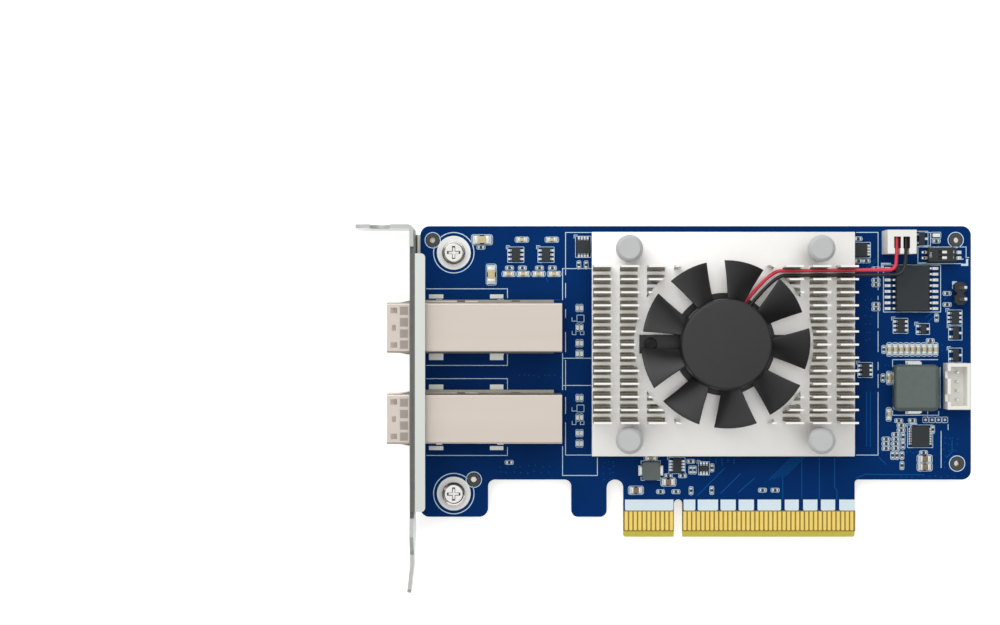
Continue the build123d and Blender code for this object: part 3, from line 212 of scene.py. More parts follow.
# Each finish: two colours that mix in patches, the size of a patch and of the grain in mm,
# the least and most roughness, the bump of the grain, and what else differs from plain plastic
finishes = {
    # blue solder resist over glass cloth: deep, even, half-glossy
    "solderResist": ("#002A66", "#003675", 9, 0.5, 0.42, 0.5, 0.04, {"specular": 0.04}),
    # resist over a copper track: the same lacquer, a little lighter
    "resistOverCopper": ("#064E90", "#0A5A9E", 6, 0.4, 0.42, 0.5, 0.04, {"specular": 0.05}),
    # epoxy legend ink: matt pale blue-white
    "legendInk": ("#C8E9FB", "#D8F1FE", 2, 0.12, 0.55, 0.7, 0.1, {"specular": 0.3}),
    # the same ink where it lies thick, in the filled blocks
    "blockInk": ("#E0F5FD", "#ECFAFE", 2, 0.12, 0.55, 0.7, 0.08, {"specular": 0.3}),
    # hard gold over nickel: warm, fine-grained, shiny
    "goldPlate": ("#EBCB62", "#F3D97C", 1.5, 0.1, 0.24, 0.34, 0.05, {"metallic": 0.9}),
    # laminate between the contacts, stained dark gold under the flash
    "contactGap": ("#8F7226", "#A58734", 1.2, 0.12, 0.45, 0.6, 0.1, {}),
    # nickel-plated steel sheet, lightly brushed along its length
    "platedSteel": ("#CDD2CC", "#DADDD8", 8, 0.25, 0.3, 0.42, 0.05,
                    {"metallic": 0.9, "stretch": (1, 0.08, 1)}),
    # the same sheet at its sheared edges: rougher, and darker with painted shade where the thin
    # faces turn from the light
    "shearedSteel": ("#BFC2BE", "#CDCFCC", 1.5, 0.2, 0.45, 0.6, 0.12, {"metallic": 0.6}),
    # painted shade on the same sheet where it turns away from the light: the bracket's bend and the
    # lower cage walls
    "bentSteel": ("#5F605F", "#6D6E6C", 2, 0.2, 0.4, 0.5, 0.06, {"metallic": 0.3}),
    # warm tin-nickel plate on the stamped port shells
    "warmNickel": ("#D0C5BB", "#D8CEC4", 5, 0.2, 0.3, 0.4, 0.04,
                   {"metallic": 0.75, "stretch": (0.1, 1, 1)}),
    # shell metal seen through the collar's windows, in shade
    "shadedNickel": ("#A39A91", "#B0A79E", 2, 0.15, 0.45, 0.55, 0.04, {"metallic": 0.3}),
    # the same plate on the lower cage walls, darker and greyer
    "dullNickel": ("#908F84", "#A2A196", 3, 0.2, 0.34, 0.45, 0.05, {"metallic": 0.8}),
    # the sloping backs of the gull leads, which mirror the dark board
    "shadedTin": ("#5C6468", "#6B7377", 1, 0.1, 0.35, 0.45, 0.04, {"metallic": 0.4}),
    # nylon deep inside the plug's slots, brown with shade
    "slotShade": ("#5A5049", "#6A5F57", 2, 0.2, 0.6, 0.7, 0.04, {}),
    # shaded nickel deep in the cross recesses
    "recessNickel": ("#6E6A66", "#7C7874", 1, 0.12, 0.4, 0.5, 0.05, {"metallic": 0.9}),
    # silver plate on the screw pads, nearly white
    "padSilver": ("#F8F8F4", "#FDFDFA", 2, 0.2, 0.4, 0.5, 0.05, {"metallic": 0.1}),
    # varnished iron powder of the power choke: glossy over a fine grain
    "varnishedPowder": ("#4E5A56", "#596561", 1.6, 0.14, 0.2, 0.28, 0.08, {"coat": 0.4}),
    # polished nickel plate on the screws
    "brightNickel": ("#DAD8D4", "#E8E6E2", 2, 0.15, 0.14, 0.22, 0.03, {"metallic": 1.0}),
    # bead-blasted, clear anodised aluminium: nearly white with a fine even grit
    "blastedAluminium": ("#FAF8F4", "#FEFDFA", 3, 0.22, 0.38, 0.5, 0.16, {"metallic": 0.5}),
    # sawn and extruded aluminium inside the fins: bare, brighter gloss, and greyer as painted shade
    # between the fins
    "sawnAluminium": ("#B3B0A9", "#C2BFB8", 2, 0.18, 0.18, 0.28, 0.05,
                      {"metallic": 1.0, "stretch": (0.1, 1, 1)}),
    # spring steel wire
    "springWire": ("#B7B8B8", "#C8C9C9", 1, 0.1, 0.22, 0.3, 0.03, {"metallic": 1.0}),
    # glass-filled nylon, moulded: even grey with a soft sheen
    "greyNylon": ("#C2C4C3", "#CBCDCC", 4, 0.15, 0.42, 0.52, 0.06, {}),
    # black PBT fan plastic, fine spark-eroded texture
    "fanPlastic": ("#1F1F20", "#262627", 5, 0.18, 0.34, 0.44, 0.1, {}),
    # black oxide on the fan screws
    "blackOxide": ("#151516", "#1F1F20", 1, 0.1, 0.3, 0.4, 0.05, {"metallic": 0.6}),
    # sintered ferrite magnet
    "ferrite": ("#29292B", "#333335", 1.5, 0.12, 0.6, 0.75, 0.2, {}),
    # flexible PVC wire skins
    "redVinyl": ("#E23448", "#EC4055", 3, 0.2, 0.34, 0.42, 0.03, {}),
    "blackVinyl": ("#1D1D1E", "#252526", 3, 0.2, 0.34, 0.42, 0.03, {}),
    # unfilled nylon of wire housings: ivory, slightly see-through
    "ivoryNylon": ("#F6F5EE", "#FCFBF5", 3, 0.15, 0.35, 0.45, 0.05, {}),
    # black glass-filled connector plastic
    "connectorBlack": ("#1D1E20", "#27282A", 2, 0.12, 0.42, 0.55, 0.12, {}),
    "sliderWhite": ("#F0F2F0", "#F8F9F8", 1, 0.1, 0.4, 0.5, 0.05, {}),
    # epoxy mould compound of chips: slate with a fine sandy skin
    "mouldCompound": ("#182024", "#222C31", 2.5, 0.09, 0.48, 0.62, 0.2, {}),
    # bright tin on leads and end caps
    "brightTin": ("#D6DADB", "#E6E9E9", 0.8, 0.12, 0.2, 0.32, 0.06, {"metallic": 0.85}),
    # solder on pads: softer and a little dimpled
    "solderTin": ("#C9CDCB", "#DADCD6", 0.7, 0.2, 0.3, 0.42, 0.14, {"metallic": 0.8}),
    # pressed iron powder with a varnish
    "pressedPowder": ("#535E5A", "#5F6A66", 1.6, 0.14, 0.3, 0.42, 0.16, {}),
    # fired capacitor ceramics
    "tanCeramic": ("#CDB98A", "#DBCB9E", 0.9, 0.08, 0.35, 0.45, 0.08, {}),
    "brownCeramic": ("#7C6656", "#8C7664", 0.9, 0.08, 0.35, 0.45, 0.08, {}),
    "resistorGlaze": ("#20262B", "#2B3238", 0.6, 0.08, 0.3, 0.4, 0.06, {}),
    # silicone gap pad
    "gapPad": ("#8A8F96", "#989DA3", 2, 0.2, 0.6, 0.7, 0.15, {}),
    # lamp lens
    "lampLens": ("#EEF4E6", "#F8FCF2", 0.8, 0.1, 0.2, 0.3, 0.02, {}),
    # plated ring round the tooling holes, dull
    "darkRing": ("#45423E", "#504D49", 0.8, 0.1, 0.45, 0.6, 0.1, {"metallic": 0.3}),
}
materials = {name: surface(name, recipe) for name, recipe in finishes.items()}


def boardMaterial():
    # the same resist on both faces, bare laminate wherever the board is cut
    board = surface("resistOnLaminate", finishes["solderResist"])
    tree = board.node_tree
    shader = tree.nodes["Principled BSDF"]
    place = addNode(tree, "ShaderNodeTexCoord", {}).outputs["Object"]
    height = addNode(tree, "ShaderNodeSeparateXYZ", {"Vector": place}).outputs["Z"]
    under = addNode(tree, "ShaderNodeMath", {0: height, 1: -0.03 * mm},
                    {"operation": "LESS_THAN"}).outputs[0]
    over = addNode(tree, "ShaderNodeMath", {0: height, 1: -1.54 * mm},
                   {"operation": "GREATER_THAN"}).outputs[0]
    between = addNode(tree, "ShaderNodeMath", {0: under, 1: over},
                      {"operation": "MULTIPLY"}).outputs[0]
    fibre = addNode(tree, "ShaderNodeTexNoise", {"Vector": place, "Scale": 2500.0})
    laminate = addNode(tree, "ShaderNodeMix",
                       {0: fibre.outputs["Fac"], 6: linear("#CFBE46"), 7: linear("#E2D264")},
                       {"data_type": "RGBA"}).outputs[2]
    resist = shader.inputs["Base Color"].links[0].from_socket
    mix = addNode(tree, "ShaderNodeMix", {0: between, 6: resist, 7: laminate},
                  {"data_type": "RGBA"})
    tree.links.new(mix.outputs[2], shader.inputs["Base Color"])
    return board


materials["board"] = boardMaterial()
print("stage: materials made")


# Fan wires: soft vinyl leads from the ring board under the hub to the plug
wires = {
    "fanWireRed": {
        "node": "fan_wire_red", "material": "redVinyl", "slot": "wire_red", "length": 43.3,
        "far end": "plug", "with": ["fanPlug"],
        "route": ((13.45, 51.15, 7.4), (19.45, 58.85, 7.45), (24.3, 58.88, 7.5),
                  (43.8, 59.03, 7.76), (46.95, 59.05, 7.8), (47.24, 62.2, 7.6),
                  (47.24, 66.2, 7.5)),
    },
    "fanWireBlack": {
        "node": "fan_wire_black", "material": "blackVinyl", "slot": "wire_black", "length": 44.7,
        "far end": "object", "with": [],
        "route": ((14.6, 50.5, 7.4), (20.4, 57.85, 7.45), (25.2, 57.88, 7.5),
                  (44.8, 58.02, 7.74), (48.75, 58.05, 7.8), (49.28, 62.0, 7.6),
                  (49.24, 66.2, 7.5)),
    },
}
wireDiameter = 0.8
for name, wire in wires.items():
    piece = tube(name, wire["route"], wireDiameter, order=3, roundness=5, resolution=16)
    piece.data.materials.append(materials[wire["material"]])
    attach(piece, "card")
    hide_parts(wire["node"])
print("stage: wires laid")


# Softened copies of the CAD solids: doubles merged, flat faces joined, edges rounded
softening = {"weld": 0.002, "flatBelow": 1.0, "segments": 2, "roundAbove": 40, "smoothBelow": 32}


def softened(name, node, material, rounding, body="card"):
    piece = placed(name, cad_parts[node].data.copy())
    makeActive(piece)
    editMode()
    bpy.ops.mesh.select_all(action="SELECT")
    bpy.ops.mesh.remove_doubles(threshold=softening["weld"] * mm)
    bpy.ops.mesh.dissolve_limited(angle_limit=math.radians(softening["flatBelow"]))
    objectMode()
    if rounding:
        rounded(piece, rounding, softening["segments"], softening["roundAbove"])
    smooth(softening["smoothBelow"])
    applied(piece, "WEIGHTED_NORMAL", {"keep_sharp": True})
    dressed(piece, material)
    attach(piece, body)
    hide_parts(node)


softenedPieces = (
    ("circuitBoard", "circuit_board", "board", 0),
    ("mountBracket", "bracket", "platedSteel", 0.08),
    ("bracketScrews", "bracket_screws", "brightNickel", 0.07),
    ("upperPortShell", "upper_port_shell", "warmNickel", 0.08),
    ("lowerPortShell", "lower_port_shell", "warmNickel", 0.08),
    ("upperPortCollar", "upper_port_collar", "warmNickel", 0),
    ("lowerPortCollar", "lower_port_collar", "warmNickel", 0),
    ("upperPortBase", "upper_port_base", "dullNickel", 0.05),
    ("lowerPortBase", "lower_port_base", "dullNickel", 0.05),
    ("upperPortHousing", "upper_port_housing", "connectorBlack", 0.08),
    ("lowerPortHousing", "lower_port_housing", "connectorBlack", 0.08),
    ("controllerPackage", "controller_package", "mouldCompound", 0.08),
    ("pushPins", "push_pins", "greyNylon", 0.08),
    ("fanPlate", "fan_plate", "fanPlastic", 0.1),
    ("fanStator", "fan_stator", "platedSteel", 0.05),
    ("fanPlug", "fan_plug", "ivoryNylon", 0.1),
    ("fanHeader", "fan_header", "ivoryNylon", 0.08),
    ("jumperHeader", "jumper_header", "connectorBlack", 0.08),
    ("jumperPins", "jumper_pins", "brightTin", 0.08),
    ("serviceHeader", "service_header", "ivoryNylon", 0.12),
    ("serviceHeaderPins", "service_header_pins", "brightTin", 0.06),
    ("switchBody", "switch_body", "connectorBlack", 0.1),
    ("switchSlider1", "switch_slider_1", "sliderWhite", 0.06, "slider_1"),
    ("switchSlider2", "switch_slider_2", "sliderWhite", 0.06, "slider_2"),
    ("smallInductor", "small_inductor", "pressedPowder", 0.1),
    ("wideChip", "wide_chip", "mouldCompound", 0.1),
    ("smallChips", "small_chips", "mouldCompound", 0.06),
)
for row in softenedPieces:
    softened(*row)
print("stage: softened pieces made")

# CAD solids that keep their own mesh
keptNodes = {
    "upper_port_contacts": "goldPlate", "lower_port_contacts": "goldPlate",
    "thermal_pad": "gapPad", "fan_sleeve": "brightNickel", "fan_ring_board": "solderResist",
    "fan_shaft": "brightNickel", "fan_cup": "platedSteel", "fan_magnet": "ferrite",
    "fan_header_pins": "brightTin", "power_inductor_tabs": "brightTin",
    "small_inductor_ends": "brightTin", "status_lamp": "lampLens",
}
for node, material in keptNodes.items():
    dressed(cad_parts[node], material)
print("stage: CAD nodes dressed")


# Where the separate solids of a CAD node are, so that detail sits on them
def solidBoxes(node):
    # lowest and highest corner of each loose solid, in millimetres
    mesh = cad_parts[node].data
    keys = [tuple(round(value * 1e6) for value in vertex.co) for vertex in mesh.vertices]
    leader = {key: key for key in keys}

    def find(key):
        while leader[key] != key:
            leader[key] = leader[leader[key]]
            key = leader[key]
        return key

    for face in mesh.polygons:
        first = find(keys[face.vertices[0]])
        for index in face.vertices[1:]:
            leader[find(keys[index])] = first
    groups = {}
    for key in leader:
        groups.setdefault(find(key), []).append(key)
    boxes = []
    for points in groups.values():
        low = [min(point[axis] for point in points) / 1000 for axis in range(3)]
        high = [max(point[axis] for point in points) / 1000 for axis in range(3)]
        boxes.append((low, high))
    return sorted(boxes)


def middle(low, high):
    return [(first + second) / 2 for first, second in zip(low, high)]


def nearestBox(x, y, boxes):
    return min(boxes, key=lambda box: math.dist((x, y), middle(*box)[:2]))


def joined(name, pieces, material, body="card", replaced=()):
    # joins modelled pieces into one, with its place in its mesh
    makeActive(pieces[0])
    for piece in pieces:
        piece.select_set(True)
    if len(pieces) > 1:
        bpy.ops.object.join()
    piece = bpy.context.object
    bpy.ops.object.transform_apply(location=True, rotation=True, scale=True)
    piece.name = name
    piece.data.name = name
    dressed(piece, material)
    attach(piece, body)
    if replaced:
        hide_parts(*replaced)
    return piece


def roundedBlock(size, centre, rounding, segments=2):
    deselectAll()
    bpy.ops.mesh.primitive_cube_add(size=1, location=(0, 0, 0))
    block = bpy.context.object
    editMode()
    bpy.ops.transform.resize(value=tuple(value * mm for value in size))
    bpy.ops.transform.translate(value=tuple(value * mm for value in centre))
    bpy.ops.mesh.bevel(offset=rounding * mm, segments=segments, affect="EDGES")
    objectMode()
    smooth(35)
    return block


def stampedCopies(template, places):
    # each place is x, y, z in millimetres and a turn
    copies = []
    for x, y, z, turned in places:
        copy = placed(template.name, template.data.copy())
        copy.location = (x * mm, y * mm, z * mm)
        copy.rotation_euler = (0, 0, turned)
        copies.append(copy)
    return copies


# Ceramic parts: each plated end's share of the length, and how far the body is inside the plating
smallParts = {"capShare": 0.2, "bodyShrink": 0.06, "rounding": 0.05}


def platedParts(name, node, bodyMaterial):
    # a ceramic body between two plated ends, one template for each size
    sizes = {}
    for low, high in solidBoxes(node):
        length, width, height = (high[axis] - low[axis] for axis in range(3))
        turned = math.radians(90) if width > length else 0.0
        key = (round(max(length, width), 2), round(min(length, width), 2), round(height, 2))
        x, y, _ = middle(low, high)
        sizes.setdefault(key, []).append((x, y, low[2], turned))
    bodies = []
    ends = []
    for (length, width, height), places in sizes.items():
        cap = length * smallParts["capShare"]
        shrink = smallParts["bodyShrink"]
        body = roundedBlock((length - cap, width - shrink, height - shrink),
                            (0, 0, height / 2), smallParts["rounding"])
        halves = [roundedBlock((cap, width, height), (side * (length - cap) / 2, 0, height / 2),
                               smallParts["rounding"]) for side in (-1, 1)]
        bodies += stampedCopies(body, places)
        for half in halves:
            ends += stampedCopies(half, places)
        for used in [body] + halves:
            bpy.data.objects.remove(used)
    joined(name, bodies, bodyMaterial, replaced=(node,))
    joined(name + "Ends", ends, "brightTin")


platedParts("largeCapacitors", "large_capacitors", "tanCeramic")
platedParts("brownCapacitors", "brown_capacitors", "brownCeramic")
platedParts("tanCapacitors", "tan_capacitors", "tanCeramic")
platedParts("tinyResistors", "tiny_resistors", "resistorGlaze")
platedParts("backCapacitors", "back_capacitors", "tanCeramic")
print("stage: plated parts made")


# Heatsink: extruded fins with round-bottomed valleys, cross-cut into columns
heatsink = {
    "x": 9.56, "y": 42.8, "length": 57.75, "width": 49.3, "bottom": 2.9, "face": 5.5,
    "tip": 12.5, "rows": 13, "pitch": 2.835, "fin": 0.45, "columns": 10, "columnPitch": 5.945,
    "columnLength": 3.93, "rootUnder": 0.3, "valleyFloor": 0.1, "valleyRadius": 1.1, "steps": 8,
    "edge": 0.08, "recess": 19.7, "recessDepth": 20, "recessUnder": 0.6, "baseEdge": 0.12,
    "wallSlope": 0.15, "tipBand": 0.1,
}


def finColumn(centre):
    # one column: the profile is drawn in the YZ plane and extruded along X
    side = (centre - heatsink["columnLength"] / 2) * mm
    root = heatsink["face"] - heatsink["rootUnder"]
    floor = heatsink["face"] + heatsink["valleyFloor"]
    radius = heatsink["valleyRadius"]
    start = heatsink["y"] - ((heatsink["rows"] - 1) * heatsink["pitch"] + heatsink["fin"]) / 2
    angles = [math.pi / 2 * step / heatsink["steps"] for step in range(heatsink["steps"] + 1)]
    profile = []
    for row in range(heatsink["rows"]):
        left = start + row * heatsink["pitch"]
        right = left + heatsink["fin"]
        profile += [(left, heatsink["tip"]), (right, heatsink["tip"])]
        if row < heatsink["rows"] - 1:
            following = left + heatsink["pitch"]
            profile += [(right + radius * (1 - math.cos(angle)),
                         floor + radius * (1 - math.sin(angle))) for angle in angles]
            profile += [(following - radius * (1 - math.sin(angle)),
                         floor + radius * (1 - math.cos(angle))) for angle in angles]
    profile += [(profile[-1][0], root), (start, root)]
    mesh = bpy.data.meshes.new("finColumn")
    mesh.from_pydata([(side, y * mm, z * mm) for y, z in profile], [],
                     [tuple(range(len(profile)))])
    column = placed("finColumn", mesh)
    makeActive(column)
    editMode()
    bpy.ops.mesh.select_all(action="SELECT")
    extrudeBy(heatsink["columnLength"], 0, 0)
    bpy.ops.mesh.select_all(action="SELECT")
    bpy.ops.mesh.normals_make_consistent(inside=False)
    objectMode()
    return column


def cutBy(piece, cutter):
    applied(piece, "BOOLEAN", {"operation": "DIFFERENCE", "object": cutter, "solver": "EXACT"})
    bpy.data.objects.remove(cutter)


firstColumn = -(heatsink["columns"] - 1) / 2
columns = [finColumn(heatsink["x"] + (firstColumn + i) * heatsink["columnPitch"])
           for i in range(heatsink["columns"])]
fins = joined("heatsinkFins", columns, "blastedAluminium", replaced=("heatsink",))
deselectAll()
recessMiddle = heatsink["face"] + heatsink["recessDepth"] / 2 - heatsink["recessUnder"]
bpy.ops.mesh.primitive_cylinder_add(
    vertices=144, radius=heatsink["recess"] * mm, depth=heatsink["recessDepth"] * mm,
    location=(heatsink["x"] * mm, heatsink["y"] * mm, recessMiddle * mm))
cutBy(fins, bpy.context.object)
rounded(fins, heatsink["edge"], 1, 60)
smooth(30)
dressed(fins, "blastedAluminium", "sawnAluminium")
# fin walls and valley sides get the greyer metal: painted shade between the fins
wallTop = (heatsink["tip"] - heatsink["tipBand"]) * mm
for face in fins.data.polygons:
    wall = abs(face.normal.y) > heatsink["wallSlope"] and face.center.z < wallTop
    face.material_index = 1 if wall else 0
basePlate = roundedBlock(
    (heatsink["length"], heatsink["width"], heatsink["face"] - heatsink["bottom"]),
    (heatsink["x"], heatsink["y"], (heatsink["face"] + heatsink["bottom"]) / 2),
    heatsink["baseEdge"])
joined("heatsinkBase", [basePlate], "blastedAluminium",
       replaced=("heatsink",))
print("stage: heatsink made")


# Fan impeller: a moulded hub with nine swept, cambered blades
impeller = {
    "x": 9.56, "y": 42.8, "hubRadius": 9.92, "hubLow": 8.3, "hubTop": 14.0, "hubEdge": 0.7,
    "wall": 0.7, "roof": 1.0, "blades": 9, "phase": -3.0, "tip": 18.3, "halfAngle": 14.7,
    "rootShare": 0.75, "tipShare": 0.97, "sunk": 0.35, "high": 12.4, "low": 8.75, "camber": 0.62,
    "thickness": 0.42, "bladeEdge": 0.1, "along": 9, "across": 12,
}


def impellerHub():
    deselectAll()
    depth = impeller["hubTop"] - impeller["hubLow"]
    bpy.ops.mesh.primitive_cylinder_add(vertices=112, radius=impeller["hubRadius"] * mm,
                                        depth=depth * mm, location=(0, 0, 0))
    hub = bpy.context.object
    editMode()
    bpy.ops.mesh.select_all(action="DESELECT")
    objectMode()
    for face in hub.data.polygons:
        face.select = face.normal.z < -0.9
    editMode()
    bpy.ops.mesh.select_mode(type="FACE")
    bpy.ops.mesh.inset(thickness=impeller["wall"] * mm)
    extrudeBy(0, 0, depth - impeller["roof"])
    objectMode()
    # the rim on top and the one under the roof
    rims = (depth / 2 - impeller["roof"]) * mm - 1e-6
    bevelEdges(hub, lambda first, second: min(first.z, second.z) > rims, impeller["hubEdge"], 5)
    hub.location = (impeller["x"] * mm, impeller["y"] * mm,
                    (impeller["hubTop"] + impeller["hubLow"]) / 2 * mm)
    return hub


def impellerBlade(turn):
    # a grid laid out along the radius and across the blade, then given its thickness
    deselectAll()
    bpy.ops.mesh.primitive_grid_add(x_subdivisions=impeller["along"],
                                    y_subdivisions=impeller["across"], size=1)
    blade = bpy.context.object
    inner = impeller["hubRadius"] - impeller["sunk"]
    for vertex in blade.data.vertices:
        out = vertex.co.x + 0.5
        side = vertex.co.y * 2
        radius = inner + (impeller["tip"] - inner) * out
        share = impeller["rootShare"] + (impeller["tipShare"] - impeller["rootShare"]) * out
        angle = math.radians(impeller["halfAngle"]) * share * side
        middle = (impeller["high"] + impeller["low"]) / 2
        height = middle + side * (impeller["high"] - impeller["low"]) / 2
        height += impeller["camber"] * (1 - side * side)
        vertex.co = (radius * math.cos(angle) * mm, radius * math.sin(angle) * mm, height * mm)
    applied(blade, "SOLIDIFY", {"thickness": impeller["thickness"] * mm, "offset": 0.0})
    rounded(blade, impeller["bladeEdge"], 2, 50)
    blade.rotation_euler = (0, 0, math.radians(turn))
    blade.location = (impeller["x"] * mm, impeller["y"] * mm, 0)
    return blade


impellerPieces = [impellerHub()]
impellerPieces += [impellerBlade(impeller["phase"] + 360 * i / impeller["blades"])
                   for i in range(impeller["blades"])]
joined("fanImpeller", impellerPieces, "fanPlastic", body="fan_rotor",
       replaced=("fan_impeller",))
smooth(35)
print("stage: impeller made")


# Cross-head fan screws, sunk flush into the arms
fanScrew = {"radius": 1.46, "head": 0.4, "edge": 0.1, "cross": 1.15, "slot": 0.3, "depth": 0.3,
            "slotEdge": 0.05, "seat": 6.7}


def crossScrew(x, y, seat):
    deselectAll()
    bpy.ops.mesh.primitive_cylinder_add(
        vertices=48, radius=fanScrew["radius"] * mm, depth=fanScrew["head"] * mm,
        location=(x * mm, y * mm, (seat + fanScrew["head"] / 2) * mm))
    head = bpy.context.object
    rounded(head, fanScrew["edge"], 2, 40)
    long, narrow = 2 * fanScrew["cross"], fanScrew["slot"]
    for across, along in ((long, narrow), (narrow, long)):
        cutBy(head, roundedBlock((across, along, 2 * fanScrew["depth"]),
                                 (x, y, seat + fanScrew["head"]), fanScrew["slotEdge"]))
    return head


fanScrewHeads = [crossScrew(*middle(*box)[:2], fanScrew["seat"]) for box in solidBoxes("fan_screws")]
joined("fanScrews", fanScrewHeads, "blackOxide", replaced=("fan_screws",))
smooth(35)
print("stage: fan screws made")


# Push-pin springs: round wire wound as a real coil, with flat turns at both ends
spring = {"turns": 3.6, "radius": 2.1, "wire": 0.5, "low": 5.5, "high": 9.9, "steps": 14,
          "flatShare": 0.12, "climbShare": 0.76}
coilPoints = int(spring["turns"] * spring["steps"])
coilFoot = spring["low"] + spring["wire"] / 2
coilRise = spring["high"] - spring["low"] - spring["wire"]
springCoils = []
for box in solidBoxes("push_pin_springs"):
    x, y, _ = middle(*box)
    route = []
    for index in range(coilPoints + 1):
        angle = 2 * math.pi * index / spring["steps"]
        climb = (index / coilPoints - spring["flatShare"]) / spring["climbShare"]
        route.append((x + spring["radius"] * math.cos(angle),
                      y + spring["radius"] * math.sin(angle),
                      coilFoot + coilRise * min(1.0, max(0.0, climb))))
    makeActive(tube("springCoil", route, spring["wire"], order=4, roundness=2, resolution=3))
    bpy.ops.object.convert(target="MESH")
    springCoils.append(bpy.context.object)
joined("pushPinSprings", springCoils, "springWire",
       replaced=("push_pin_springs",))
smooth(60)
print("stage: springs wound")


# Power choke: a pillow-edged block
choke = {"rounding": 1.15, "segments": 6}
chokeLow, chokeHigh = solidBoxes("power_inductor")[0]
chokeBlock = roundedBlock([high - low for low, high in zip(chokeLow, chokeHigh)],
                          middle(chokeLow, chokeHigh), choke["rounding"], choke["segments"])
applied(chokeBlock, "WEIGHTED_NORMAL", {"keep_sharp": True})
joined("powerInductor", [chokeBlock], "varnishedPowder",
       replaced=("power_inductor",))
print("stage: power choke made")


# Cross recesses of the bracket screws: tapered, their walls in the shaded plate
crossShape = {"reach": 1.6, "under": 0.12, "taper": 0.8, "floorNormal": 0.8}
screws = bpy.data.objects["bracketScrews"]
screws.data.materials.append(materials["recessNickel"])
screwTop = max(high[2] for low, high in solidBoxes("bracket_screws"))
screwSpots = [middle(*box)[:2] for box in solidBoxes("bracket_screws")]


def nearestScrew(x, y):
    return min((math.hypot(x - spotX, y - spotY), spotX, spotY) for spotX, spotY in screwSpots)


for vertex in screws.data.vertices:
    x, y, z = (value / mm for value in vertex.co)
    away, nearX, nearY = nearestScrew(x, y)
    if away < crossShape["reach"] and 0 < z < screwTop - 2 * crossShape["under"]:
        vertex.co.x = (nearX + (x - nearX) * crossShape["taper"]) * mm
        vertex.co.y = (nearY + (y - nearY) * crossShape["taper"]) * mm
for face in screws.data.polygons:
    x, y, z = (value / mm for value in face.center)
    sunk = nearestScrew(x, y)[0] < crossShape["reach"] and 0 < z < screwTop - crossShape["under"]
    face.material_index = 1 if sunk and face.normal.z < crossShape["floorNormal"] else 0


# Markings moulded into the switch: plain position marks
switchMarks = {"size": 0.75, "lift": 0.005, "thickness": 0.01, "inset": 0.65, "apart": 0.62}
bodyLow, bodyHigh = solidBoxes("switch_body")[0]
switchMiddle = (bodyLow[1] + bodyHigh[1]) / 2
numberX = bodyHigh[0] - switchMarks["inset"]
marks = (("1", numberX, switchMiddle - switchMarks["apart"], 0),
         ("2", numberX, switchMiddle + switchMarks["apart"], 0),
         ("ON", bodyLow[0] + switchMarks["inset"], switchMiddle, 90))
markPieces = []
for text, x, y, turn in marks:
    deselectAll()
    bpy.ops.object.text_add(location=(x * mm, y * mm, (bodyHigh[2] + switchMarks["lift"]) * mm),
                            rotation=(0, 0, math.radians(turn)))
    mark = bpy.context.object
    mark.data.body = text
    mark.data.size = switchMarks["size"] * mm
    mark.data.extrude = switchMarks["thickness"] * mm
    mark.data.align_x = "CENTER"
    mark.data.align_y = "CENTER"
    bpy.ops.object.convert(target="MESH")
    markPieces.append(bpy.context.object)
joined("switchMarks", markPieces, "legendInk")
print("stage: switch marked")


# Sheared edges of the bracket: the thin faces of the plate, the tab and the tongue, rougher and
# darkened with painted shade; the bend painted in shade where it turns from the light
bracketSheet = {"plateLow": -59.2, "plateHigh": -58.0, "tabLow": 67.9, "edge": 0.35,
                "bendHigh": -57.8, "bendNormal": 0.02, "flangeLow": 5.3, "flangeHigh": 63.5}
bracketPiece = bpy.data.objects["mountBracket"]
bracketPiece.data.materials.append(materials["shearedSteel"])
bracketPiece.data.materials.append(materials["bentSteel"])
for face in bracketPiece.data.polygons:
    x, y, z = (value / mm for value in face.center)
    inPlate = bracketSheet["plateLow"] < x < bracketSheet["plateHigh"]
    plateEdge = inPlate and abs(face.normal.x) < bracketSheet["edge"]
    tabEdge = y > bracketSheet["tabLow"] and abs(face.normal.y) < bracketSheet["edge"]
    face.material_index = 1 if plateEdge or (tabEdge and x < bracketSheet["plateHigh"]) else 0
    alongFlange = bracketSheet["flangeLow"] < y < bracketSheet["flangeHigh"]
    # the bend's faces turned from the light get painted shade: darkest along the flange, lighter on
    # the leg
    if x < bracketSheet["bendHigh"] and face.normal.z > bracketSheet["bendNormal"]:
        face.material_index = 2 if alongFlange else 1


# Cage walls of the ports: a narrow band of painted shade below each shell, small slots above it
cageWalls = {
    "lift": 0.35, "slots": ((457.1, 465.2), (511.6, 520)), "slotRows": ((300.4, 301.8),),
    "strips": ((426, 457.1), (465.2, 478)), "stripRows": ((300.8, 302.2),), "portDrop": 91.9,
}
for name, shell in (("upperPortBase", "upper_port_shell"), ("lowerPortBase", "lower_port_shell")):
    shellLow = solidBoxes(shell)[0][0][1]
    cage = bpy.data.objects[name].data
    cage.materials.append(materials["bentSteel"])
    for vertex in cage.vertices:
        if vertex.co.y / mm < shellLow:
            vertex.co.y += cageWalls["lift"] * mm
    # faces below the shell are painted in shade
    for face in cage.polygons:
        face.material_index = 1 if face.center.y / mm < shellLow + cageWalls["lift"] else 0

# Dark inside of the two wire slots of the plug
plugSlots = {"inset": 0.3, "front": 1.15}
plugPiece = bpy.data.objects["fanPlug"]
plugPiece.data.materials.append(materials["slotShade"])
plugLow, plugHigh = solidBoxes("fan_plug")[0]
inset = plugSlots["inset"]
for face in plugPiece.data.polygons:
    spot = [value / mm for value in face.center]
    inside = all(plugLow[i] + inset < spot[i] < plugHigh[i] - inset for i in (0, 1))
    sunk = spot[1] > plugLow[1] + plugSlots["front"] and spot[2] < plugHigh[2] - inset
    face.material_index = 1 if inside and sunk else 0


# Edge contacts: plated fingers with rounded lower ends
fingerShape = {"cornerShare": 0.42, "edge": 0.03}


